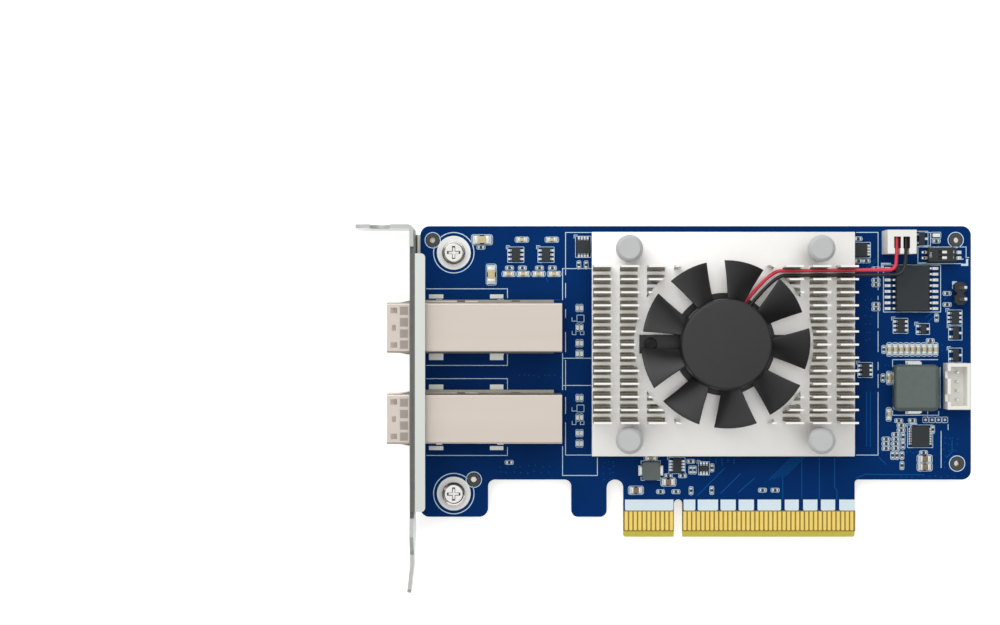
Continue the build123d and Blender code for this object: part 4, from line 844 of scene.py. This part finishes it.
def contactFinger(width, length, thickness):
    deselectAll()
    bpy.ops.mesh.primitive_cube_add(size=1, location=(0, 0, 0))
    finger = bpy.context.object
    finger.scale = (width * mm, length * mm, thickness * mm)
    bpy.ops.object.transform_apply(location=False, rotation=False, scale=True)
    bevelEdges(finger, lambda first, second: max(first.y, second.y) < 0
               and abs(first.z - second.z) > 1e-6, width * fingerShape["cornerShare"], 4)
    return finger


fingers = []
fingerPlaces = {}
for low, high in solidBoxes("edge_contacts"):
    size = tuple(round(high[axis] - low[axis], 3) for axis in range(3))
    fingerPlaces.setdefault(size, []).append((*middle(low, high), 0.0))
for size, places in fingerPlaces.items():
    template = contactFinger(*size)
    fingers += stampedCopies(template, places)
    bpy.data.objects.remove(template)
contacts = joined("edgeContacts", fingers, "goldPlate", replaced=("edge_contacts",))
rounded(contacts, fingerShape["edge"], 1, 60)
print("stage: contacts made")


# Gull-wing leads of the small chips: foot, slope and shoulder
gullLead = {"thickness": 0.13, "shadeLow": 0.15, "shadeHigh": 0.9}


def gullLeads(name, node, chipNode, rise, bends):
    chips = solidBoxes(chipNode)
    thick = gullLead["thickness"]
    pieces = []
    for low, high in solidBoxes(node):
        x, y, _ = middle(low, high)
        chipLow, chipHigh = nearestBox(x, y, chips)
        chipX, chipY, _ = middle(chipLow, chipHigh)
        if chipLow[0] - 0.01 > x or chipHigh[0] + 0.01 < x:
            along = 0
            turn = 0.0 if x > chipX else math.pi
        else:
            along = 1
            turn = math.pi / 2 if y > chipY else -math.pi / 2
        reach = high[along] - low[along]
        width = high[1 - along] - low[1 - along]
        shoulder = rise * chipHigh[2]
        centre = ((-reach / 2, shoulder), (-reach / 2 + bends[0], shoulder),
                  (-reach / 2 + bends[1], 0.0), (reach / 2, 0.0))
        deselectAll()
        bpy.ops.mesh.primitive_plane_add(size=1, rotation=(0, math.pi / 2, 0))
        lead = bpy.context.object
        bpy.ops.object.transform_apply(location=False, rotation=True, scale=False)
        editMode()
        bpy.ops.transform.resize(value=(1, width * mm, thick * mm))
        bpy.ops.transform.translate(value=(centre[0][0] * mm, 0, (centre[0][1] + thick / 2) * mm))
        for before, after in zip(centre, centre[1:]):
            extrudeBy(after[0] - before[0], 0, after[1] - before[1])
        bpy.ops.mesh.select_all(action="SELECT")
        bpy.ops.mesh.normals_make_consistent(inside=False)
        objectMode()
        lead.rotation_euler = (0, 0, turn)
        lead.location = (x * mm, y * mm, 0)
        pieces.append(lead)
    leads = joined(name, pieces, "brightTin", replaced=(node,))
    leads.data.materials.append(materials["shadedTin"])
    for face in leads.data.polygons:
        shaded = gullLead["shadeLow"] < face.normal.z < gullLead["shadeHigh"]
        face.material_index = 1 if shaded else 0


gullLeads("smallChipLeads", "small_chip_leads", "small_chips", 0.55, (0.1, 0.27))
gullLeads("wideChipLeads", "wide_chip_leads", "wide_chip", 0.44, (0.55, 0.95))
gullLeads("switchLeads", "switch_leads", "switch_body", 0.3, (0.3, 0.62))
print("stage: gull leads made")


# Flat work on the board
def printed(name, points, faces, material):
    mesh = bpy.data.meshes.new(name)
    mesh.from_pydata(points, [], faces)
    mesh.materials.append(materials[material])
    piece = placed(name, mesh)
    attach(piece, "card")
    return piece


cubeFaces = ((0, 1, 3, 2), (2, 3, 7, 6), (6, 7, 5, 4), (4, 5, 1, 0), (2, 6, 4, 0), (7, 3, 1, 5))


def slabs(name, material, bars, low, high):
    # thin blocks, each from its left, right, lower and upper side
    points = []
    faces = []
    for x0, x1, y0, y1 in bars:
        faces += [tuple(len(points) + corner for corner in face) for face in cubeFaces]
        points += [(x * mm, y * mm, z * mm) for x in (x0, x1) for y in (y0, y1) for z in (low, high)]
    return printed(name, points, faces, material)


# Inked and plated lines: a flat ribbon laid along each path; the tops are heights over the board
ink = {"width": 0.16, "heavy": 0.5, "outline": 0.11, "block": 0.3, "top": 0.02, "under": -0.01,
       "arcSteps": 6}
tops = {"gap": 0.004, "track": 0.008, "via": 0.012, "footPad": 0.025, "pad": 0.03}


def ribbons(name, material, paths, top=ink["top"]):
    # flat lines, each from its points, its width and whether it closes
    points = []
    faces = []
    for path, width, closed in paths:
        count = len(path)
        base = len(points)
        for index, (x, y) in enumerate(path):
            before = path[index - 1] if index or closed else path[index]
            after = path[(index + 1) % count] if index < count - 1 or closed else path[index]
            ahead = Vector((after[0] - x, after[1] - y))
            behind = Vector((x - before[0], y - before[1]))
            ahead = ahead.normalized() if ahead.length else behind.normalized()
            behind = behind.normalized() if behind.length else ahead
            along = (ahead + behind).normalized()
            spread = width / 2 / max(0.5, along.dot(ahead))
            side = Vector((-along.y, along.x)) * spread
            for height in (ink["under"], top):
                points.append(((x + side.x) * mm, (y + side.y) * mm, height * mm))
                points.append(((x - side.x) * mm, (y - side.y) * mm, height * mm))
        for index in range(count if closed else count - 1):
            a = base + 4 * index
            b = base + 4 * ((index + 1) % count)
            faces += [(a + 2, a + 3, b + 3, b + 2), (a, b, b + 1, a + 1),
                      (a, a + 2, b + 2, b), (a + 1, b + 1, b + 3, a + 3)]
        if not closed:
            a = base
            b = base + 4 * (count - 1)
            faces += [(a, a + 1, a + 3, a + 2), (b, b + 2, b + 3, b + 1)]
    return printed(name, points, faces, material)


def roundedPath(x0, x1, y0, y1, radius):
    path = []
    for cx, cy, start in ((x1 - radius, y1 - radius, 0), (x0 + radius, y1 - radius, 90),
                          (x0 + radius, y0 + radius, 180), (x1 - radius, y0 + radius, 270)):
        for step in range(ink["arcSteps"] + 1):
            angle = math.radians(start + 90 * step / ink["arcSteps"])
            path.append((cx + radius * math.cos(angle), cy + radius * math.sin(angle)))
    return path


def circlePath(x, y, radius, steps):
    return [(x + radius * math.cos(2 * math.pi * i / steps),
             y + radius * math.sin(2 * math.pi * i / steps)) for i in range(steps)]


# Long legend lines round the ports, the heatsink and the service area
legendRuns = (
    ((426.5, 288.8), (507.5, 288.8), (507.5, 298)), ((507.5, 354), (507.5, 365.4), (426.5, 365.4)),
    ((426.5, 378.6), (507.5, 378.6), (507.5, 390)), ((507.5, 447), (507.5, 455.4), (426.5, 455.4)),
    ((592, 268.6), (562.6, 268.6), (562.6, 300)), ((562.6, 353), (562.6, 390)),
    ((562.6, 446), (562.6, 475.4), (597.4, 475.4), (597.4, 457.5)),
    ((592, 232.5), (565.6, 232.5), (565.6, 275)), ((565.6, 283), (565.6, 298)),
    ((565.6, 309), (565.6, 318)), ((565.6, 332), (565.6, 352)), ((565.6, 360), (565.6, 390)),
    ((565.6, 397), (565.6, 414)), ((565.6, 422), (565.6, 455), (592, 455)),
    ((562.6, 358.2), (592, 358.2)), ((562.6, 385.4), (592, 385.4)),
    ((856, 232.4), (878, 232.4), (878, 290)), ((878, 296), (878, 300)), ((878, 312), (878, 328)),
    ((878, 331), (878, 352)), ((878, 362), (878, 370)), ((878, 374), (878, 388)),
    ((878, 392), (878, 455), (856, 455)), ((892.5, 367.5), (892.5, 359.6), (938, 359.6)),
    ((892.5, 410), (892.5, 415.2), (938.6, 415.2), (938.6, 411)), ((927.6, 411), (927.6, 418)),
    ((940, 367), (940, 408)), ((941, 431), (941, 468)), ((948, 424), (948, 430)),
    ((881, 265), (911.6, 265), (940.5, 265), (940.5, 312), (883.4, 312), (883.4, 265)),
    ((917.8, 247), (966, 247), (966, 257.6), (969, 257.6)), ((963.4, 259), (917.8, 263),),
    ((917.8, 247), (917.8, 263.6), (962, 263.6)),
    ((930.4, 232.6), (930.4, 245.6), (919, 245.6)), ((919, 232), (930.4, 232.6)),
)
silkPaths = [(pixelPath(*run), ink["width"], False) for run in legendRuns]
heavyMarks = (((882, 268), (882, 264), (891, 264)), ((961, 264.8), (967, 264.8), (967, 259)),
              ((953.2, 289), (953.2, 282.4), (957, 282.4)), ((911, 430), (911, 424), (917, 424)))
silkPaths += [(pixelPath(*mark), ink["heavy"], False) for mark in heavyMarks]

# Outlines round the fitted parts, each a little outside the part and its pads
outlineRules = (
    ("large_capacitors", 0.35, 0.75, 0.5), ("brown_capacitors", 0.32, 0.7, 0.5),
    ("tan_capacitors", 0.2, 0.72, 0.4), ("tiny_resistors", 0.2, 0.42, 0.3),
    ("status_lamp", 0.3, 0.3, 0.2),
)
for node, sideRoom, endRoom, corner in outlineRules:
    for low, high in solidBoxes(node):
        lying = high[0] - low[0] > high[1] - low[1]
        roomX, roomY = (endRoom, sideRoom) if lying else (sideRoom, endRoom)
        silkPaths.append((roundedPath(low[0] - roomX, high[0] + roomX, low[1] - roomY,
                                      high[1] + roomY, corner), ink["outline"], True))

# Corner marks round the small inductor
cornerMarks = {"room": 0.15, "length": 0.8, "width": 0.14}
for low, high in solidBoxes("small_inductor"):
    for sideX in (-1, 1):
        for sideY in (-1, 1):
            x = (low[0] if sideX < 0 else high[0]) + sideX * cornerMarks["room"]
            y = (low[1] if sideY < 0 else high[1]) + sideY * cornerMarks["room"]
            corner = [(x, y - sideY * cornerMarks["length"]), (x, y),
                      (x - sideX * cornerMarks["length"], y)]
            silkPaths.append((corner, cornerMarks["width"], False))

# Chip outlines: a thin frame round body and leads, with a pin-one mark
chipFrames = {"endRoom": 0.22, "leadRoom": 0.85, "corner": 0.12, "width": 0.12, "mark": 0.3,
              "markArm": 0.5, "markRise": 0.28, "markWidth": 0.13}
arm = chipFrames["markArm"]
for low, high in solidBoxes("small_chips"):
    roomX, roomY = chipFrames["endRoom"], chipFrames["leadRoom"]
    if high[0] - low[0] < high[1] - low[1]:
        roomX, roomY = roomY, roomX
    x0, x1 = low[0] - roomX, high[0] + roomX
    y0, y1 = low[1] - roomY, high[1] + roomY
    silkPaths.append((roundedPath(x0, x1, y0, y1, chipFrames["corner"]), chipFrames["width"], True))
    markX, markY = x0 - chipFrames["mark"], y1 + chipFrames["markRise"]
    silkPaths.append(([(markX, y1 - arm), (markX, markY), (x0 + arm, markY)],
                      chipFrames["markWidth"], False))

# Bracket screws: a bright pad under the ear and a legend ring; tooling holes the same
rings = {"screwInk": (4.48, 0.2, 64), "screwPad": (2.95, 1.6, 64),
         "toolingInk": (1.71, 0.18, 48), "toolingPad": (1.05, 0.8, 48)}


def ringPaths(spots, kind):
    radius, width, steps = rings[kind]
    return [(circlePath(x, y, radius, steps), width, True) for x, y in spots]


toolingSpots = pixelPath((432.8, 240.3), (473.9, 479.6), (955.6, 240), (957, 463.5))
silkPaths += ringPaths(screwSpots, "screwInk") + ringPaths(toolingSpots, "toolingInk")
ribbons("legendLines", "legendInk", silkPaths)
ribbons("screwPads", "padSilver", ringPaths(screwSpots, "screwPad"), tops["pad"])
ribbons("toolingRings", "darkRing", ringPaths(toolingSpots, "toolingPad"), tops["pad"])

# Tracks under the resist, drawn from the photograph's pixels
trackWidth = 0.2
trackRuns = [
    ((801.8, 457), (801.8, 499)), ((819.3, 457), (819.3, 499)),
    ((834.5, 457), (834.5, 487), (836.9, 490), (836.9, 499)), ((782.7, 474), (782.7, 499)),
    ((725, 467.7), (697.3, 495.5)), ((740.7, 473.3), (720.4, 493.6)),
    ((754.6, 477.9), (738, 492.7)), ((866.6, 391.7), (866.6, 446.7)),
    ((870.3, 391.7), (870.3, 446.7)), ((864.6, 270), (875.6, 258.6)),
    ((866.6, 271), (876.6, 261)), ((856, 478), (866, 474), (880, 474.6), (924, 474.6)),
    ((878.6, 457), (886, 464.4)), ((930, 312), (936, 306)), ((925, 318), (933, 312)),
    ((928, 322), (936, 314)), ((640, 470), (664, 478), (664, 494)),
    ((520, 300), (560, 300)), ((486, 262), (486, 284)), ((540, 262), (548, 282)),
    ((944, 300), (950, 292)), ((952, 440), (952, 452), (946, 458)),
]
for i in range(5):
    trackRuns.append(((769 + 4 * i, 480 - i), (792 + 4 * i, 457 - i)))
for i in range(8):
    trackRuns.append(((692 + 6 * i, 458), (692 + 6 * i, 462 + 2 * (i % 3))))
ribbons("tracks", "resistOverCopper",
        [(pixelPath(*run), trackWidth, False) for run in trackRuns], tops["track"])

# Vias: small resist-covered dots where tracks change layer. Each group: its first pixel, how
# many across and down, and the two steps
via = {"radius": 0.11, "ring": 0.1, "steps": 10, "stray": 1.2}
viaGroups = (
    (886, 366, 5, 3, 4.2, 6.5), (945, 438, 4, 6, 4.0, 6.0), (908, 452, 6, 1, 3.0, 1.0),
    (862, 262, 3, 2, 5.0, 4.0), (866, 300, 2, 6, 4.5, 8.0), (520, 376, 9, 1, 5.0, 1.0),
    (930, 346, 4, 2, 4.0, 3.5), (604, 462, 3, 4, 5.0, 5.5), (760, 488, 5, 1, 4.0, 1.0),
    (500, 466, 8, 2, 7.0, 6.0), (440, 262, 1, 1, 1.0, 1.0), (900, 476, 10, 1, 6.0, 1.0),
)
viaDraw = random.Random(7)
viaPaths = []
for px, py, across, down, stepX, stepY in viaGroups:
    for i in range(across):
        for j in range(down):
            x, y = atPixel(px + i * stepX + viaDraw.uniform(-via["stray"], via["stray"]),
                           py + j * stepY + viaDraw.uniform(-via["stray"], via["stray"]))
            viaPaths.append((circlePath(x, y, via["radius"], via["steps"]), via["ring"], True))
ribbons("vias", "resistOverCopper", viaPaths, tops["via"])

# Unfitted footprints between the ports and the heatsink
def roundedPad(x, y, halfX, halfY, corner, width):
    return (roundedPath(x - halfX, x + halfX, y - halfY, y + halfY, corner), width, True)


footprint = {
    "pairs": (308, 327.6, 343.2, 353.6), "x": (577.6, 581.4), "groups": (0, 89.9),
    "pad": (0.16, 0.42, 0.14, 0.3), "frame": (0.4, 0.85, 0.35, 0.1), "line": 0.13,
    "testX": (925.5, 932, 938.4, 944.8), "testY": 419.8, "testPad": (0.12, 0.12, 0.08, 0.3),
    "testFrame": (0.62, 0.62, 0.2, 0.11),
}
padPaths = []
footInk = []
for lower in footprint["groups"]:
    for py in footprint["pairs"]:
        for px in footprint["x"]:
            x, y = atPixel(px, py + lower)
            padPaths.append(roundedPad(x, y, *footprint["pad"]))
            footInk.append(roundedPad(x, y, *footprint["frame"]))
    x0, x1, y0, y1 = pixelBar(572, 584, 315 + lower, 322 + lower)
    footInk.append((roundedPath(x0 + 1.1, x1, y0, y1, 0.12), footprint["line"], True))
    footInk.append(([(x0, y1 - 0.5), (x0, y0 + 0.2), (x0 + 1.1, y0 + 0.2)], footprint["line"],
                    False))
    for px0, px1 in ((572.2, 576), (580.4, 584)):
        top, foot = 331 + lower, 334.6 + lower
        footInk.append((pixelPath((px0, top), (px0, foot), (px1, foot), (px1, top)),
                        footprint["line"], False))
for px in footprint["testX"]:
    x, y = atPixel(px, footprint["testY"])
    padPaths.append(roundedPad(x, y, *footprint["testPad"]))
    footInk.append(roundedPad(x, y, *footprint["testFrame"]))
ribbons("footprintPads", "solderTin", padPaths, tops["footPad"])
ribbons("footprintInk", "legendInk", footInk)

# Filled blocks of the legend above the contacts, their lower corners rounded
printBlocks = ((625, 673.4), (683.6, 695.3), (697.7, 718), (720.5, 735.7), (738.6, 753.9),
               (757.5, 781), (784.7, 798.7), (803.1, 817.4), (820.8, 835.1), (839.2, 855))
blockBars = [pixelBar(px0, px1, 499.5, 510.4) for px0, px1 in printBlocks]
blocks = slabs("legendBlocks", "blockInk", blockBars, ink["under"], ink["top"])
blockFoot = blockBars[0][2]
weights = blocks.data.attributes.new("bevel_weight_edge", "FLOAT", "EDGE")
for edge in blocks.data.edges:
    first, second = (blocks.data.vertices[i].co for i in edge.vertices)
    upright = abs(first.x - second.x) + abs(first.y - second.y) < 0.001 * mm
    weights.data[edge.index].value = 1.0 if upright and first.y / mm < blockFoot + 0.1 else 0.0
applied(blocks, "BEVEL", {"limit_method": "WEIGHT", "width": ink["block"] * mm, "segments": 3,
                          "use_clamp_overlap": False})

cagePads = [pixelBar(px0, px1, py0, py1) for px0, px1 in ((429, 443.4), (490, 503.4))
            for py0, py1 in ((294.4, 298.5), (353, 360), (384.5, 391), (446, 450))]
slabs("cagePads", "solderTin", cagePads, ink["under"], ink["top"])


# Solder pads under the parts: wider than the metal that stands on them
padRules = (("large_capacitors", 0.3, 0.5), ("brown_capacitors", 0.25, 0.45),
            ("tan_capacitors", 0.16, 0.45), ("tiny_resistors", 0.1, 0.2))
padBars = []
for node, sideRoom, endRoom in padRules:
    for low, high in solidBoxes(node):
        if high[0] - low[0] > high[1] - low[1]:
            third = (high[0] - low[0]) / 3
            y0, y1 = low[1] - sideRoom / 2, high[1] + sideRoom / 2
            padBars += [(low[0] - endRoom, low[0] + third, y0, y1),
                        (high[0] - third, high[0] + endRoom, y0, y1)]
        else:
            third = (high[1] - low[1]) / 3
            x0, x1 = low[0] - sideRoom / 2, high[0] + sideRoom / 2
            padBars += [(x0, x1, low[1] - endRoom, low[1] + third),
                        (x0, x1, high[1] - third, high[1] + endRoom)]
chipBoxes = solidBoxes("small_chips") + solidBoxes("wide_chip")
leadPadRules = (("small_chip_leads", 0.28, 0.06, 0), ("wide_chip_leads", 0.75, 0.1, 0.85),
                ("switch_leads", 0.5, 0.12, 0.5), ("power_inductor_tabs", 0.35, 0.3, 0),
                ("small_inductor_ends", 0.3, 0.2, 0))
for node, toe, side, heel in leadPadRules:
    for low, high in solidBoxes(node):
        x, y, _ = middle(low, high)
        if high[0] - low[0] > high[1] - low[1]:
            rightward = x > middle(*nearestBox(x, y, chipBoxes))[0]
            x0 = low[0] + heel if rightward else low[0] - toe
            x1 = high[0] + toe if rightward else high[0] - heel
            padBars.append((x0, x1, low[1] - side, high[1] + side))
        else:
            padBars.append((low[0] - side, high[0] + side, low[1] - toe, high[1] + toe))
slabs("solderPads", "solderTin", padBars, ink["under"], tops["pad"])

# Bare laminate between the contacts
gapBars = [pixelBar(px0, px1, 510.5, 531.2) for px0, px1 in ((623.7, 673.9), (682.7, 855.2))]
slabs("contactGaps", "contactGap", gapBars, ink["under"], tops["gap"])

# Shaded windows of the collars, laid on the shells, and the slots and strips of the cage walls
windows = {"x": (400.2, 408.2), "rows": ((306.6, 315.0), (318.0, 326.6), (329.5, 337.8),
                                         (340.5, 348.8)), "half": 0.02}
shellTop = max(high[2] for low, high in solidBoxes("upper_port_shell"))
cageTop = max(high[2] for low, high in solidBoxes("upper_port_base"))
for name, material, spans, rows, top in (
        ("collarWindows", "shadedNickel", (windows["x"],), windows["rows"], shellTop),
        ("cageSlots", "slotShade", cageWalls["slots"], cageWalls["slotRows"], cageTop),
        ("cageStrips", "warmNickel", cageWalls["strips"], cageWalls["stripRows"], cageTop)):
    bars = [pixelBar(px0, px1, py0 + drop, py1 + drop, top) for drop in (0, cageWalls["portDrop"])
            for px0, px1 in spans for py0, py1 in rows]
    slabs(name, material, bars, top - windows["half"], top + windows["half"])
print("stage: board print made")


# Studio: a white floor, one soft lamp and a bright sky on one side
studio = {"floor": 1.2, "floorDrop": 3.6, "floorLift": 0.55, "lampEnergy": 0.7, "lampSize": 0.4,
          "lampPlace": (-0.22, 0.42, 0.5), "skyFrom": (-0.22, 0.32, 0.92), "skyLow": 0.06,
          "skyHigh": 1.14}
deselectAll()
bpy.ops.mesh.primitive_plane_add(size=studio["floor"], location=(0, 0.03, -studio["floorDrop"] * mm))
floor = bpy.context.object
floor.name = "floor"
floorMaterial = bpy.data.materials.new("whitePaper")
floorMaterial.use_nodes = True
paper = floorMaterial.node_tree
paperShader = paper.nodes["Principled BSDF"]
paperShader.inputs["Base Color"].default_value = linear("#F6F6F6")
paperShader.inputs["Roughness"].default_value = 0.9
paperShader.inputs["Specular IOR Level"].default_value = 0.1
seen = addNode(paper, "ShaderNodeLightPath", {})
mirrored = addNode(paper, "ShaderNodeMath", {0: seen.outputs["Is Glossy Ray"],
                                             1: seen.outputs["Is Transmission Ray"]},
                   {"operation": "ADD"}).outputs[0]
lift = addNode(paper, "ShaderNodeMath", {0: seen.outputs["Is Camera Ray"], 1: mirrored},
               {"operation": "ADD"}).outputs[0]
glow = addNode(paper, "ShaderNodeMath", {0: lift, 1: studio["floorLift"]},
               {"operation": "MULTIPLY"}).outputs[0]
paperShader.inputs["Emission Color"].default_value = (1.0, 1.0, 1.0, 1.0)
paper.links.new(glow, paperShader.inputs["Emission Strength"])
floor.data.materials.append(floorMaterial)

deselectAll()
bpy.ops.object.light_add(type="AREA", location=studio["lampPlace"])
light = bpy.context.object
light.name = "key"
light.data.energy = studio["lampEnergy"]
light.data.size = studio["lampSize"]
aim = Vector((0, 0.03, 0)) - Vector(studio["lampPlace"])
light.rotation_euler = aim.to_track_quat("-Z", "Y").to_euler()

world = bpy.data.worlds.new("softbox")
bpy.context.scene.world = world
world.use_nodes = True
sky = world.node_tree
background = sky.nodes["Background"]
background.inputs["Color"].default_value = (1.0, 1.0, 1.0, 1.0)
toward = addNode(sky, "ShaderNodeTexCoord", {}).outputs["Generated"]
facing = addNode(sky, "ShaderNodeVectorMath", {0: toward, 1: studio["skyFrom"]},
                 {"operation": "DOT_PRODUCT"}).outputs["Value"]
level = addNode(sky, "ShaderNodeMapRange",
                {"Value": facing, "From Min": 0.0, "From Max": 0.92,
                 "To Min": studio["skyLow"], "To Max": studio["skyHigh"]}).outputs[0]
sky.links.new(level, background.inputs["Strength"])
bpy.context.scene.view_settings.view_transform = "Standard"
print("stage: studio set")
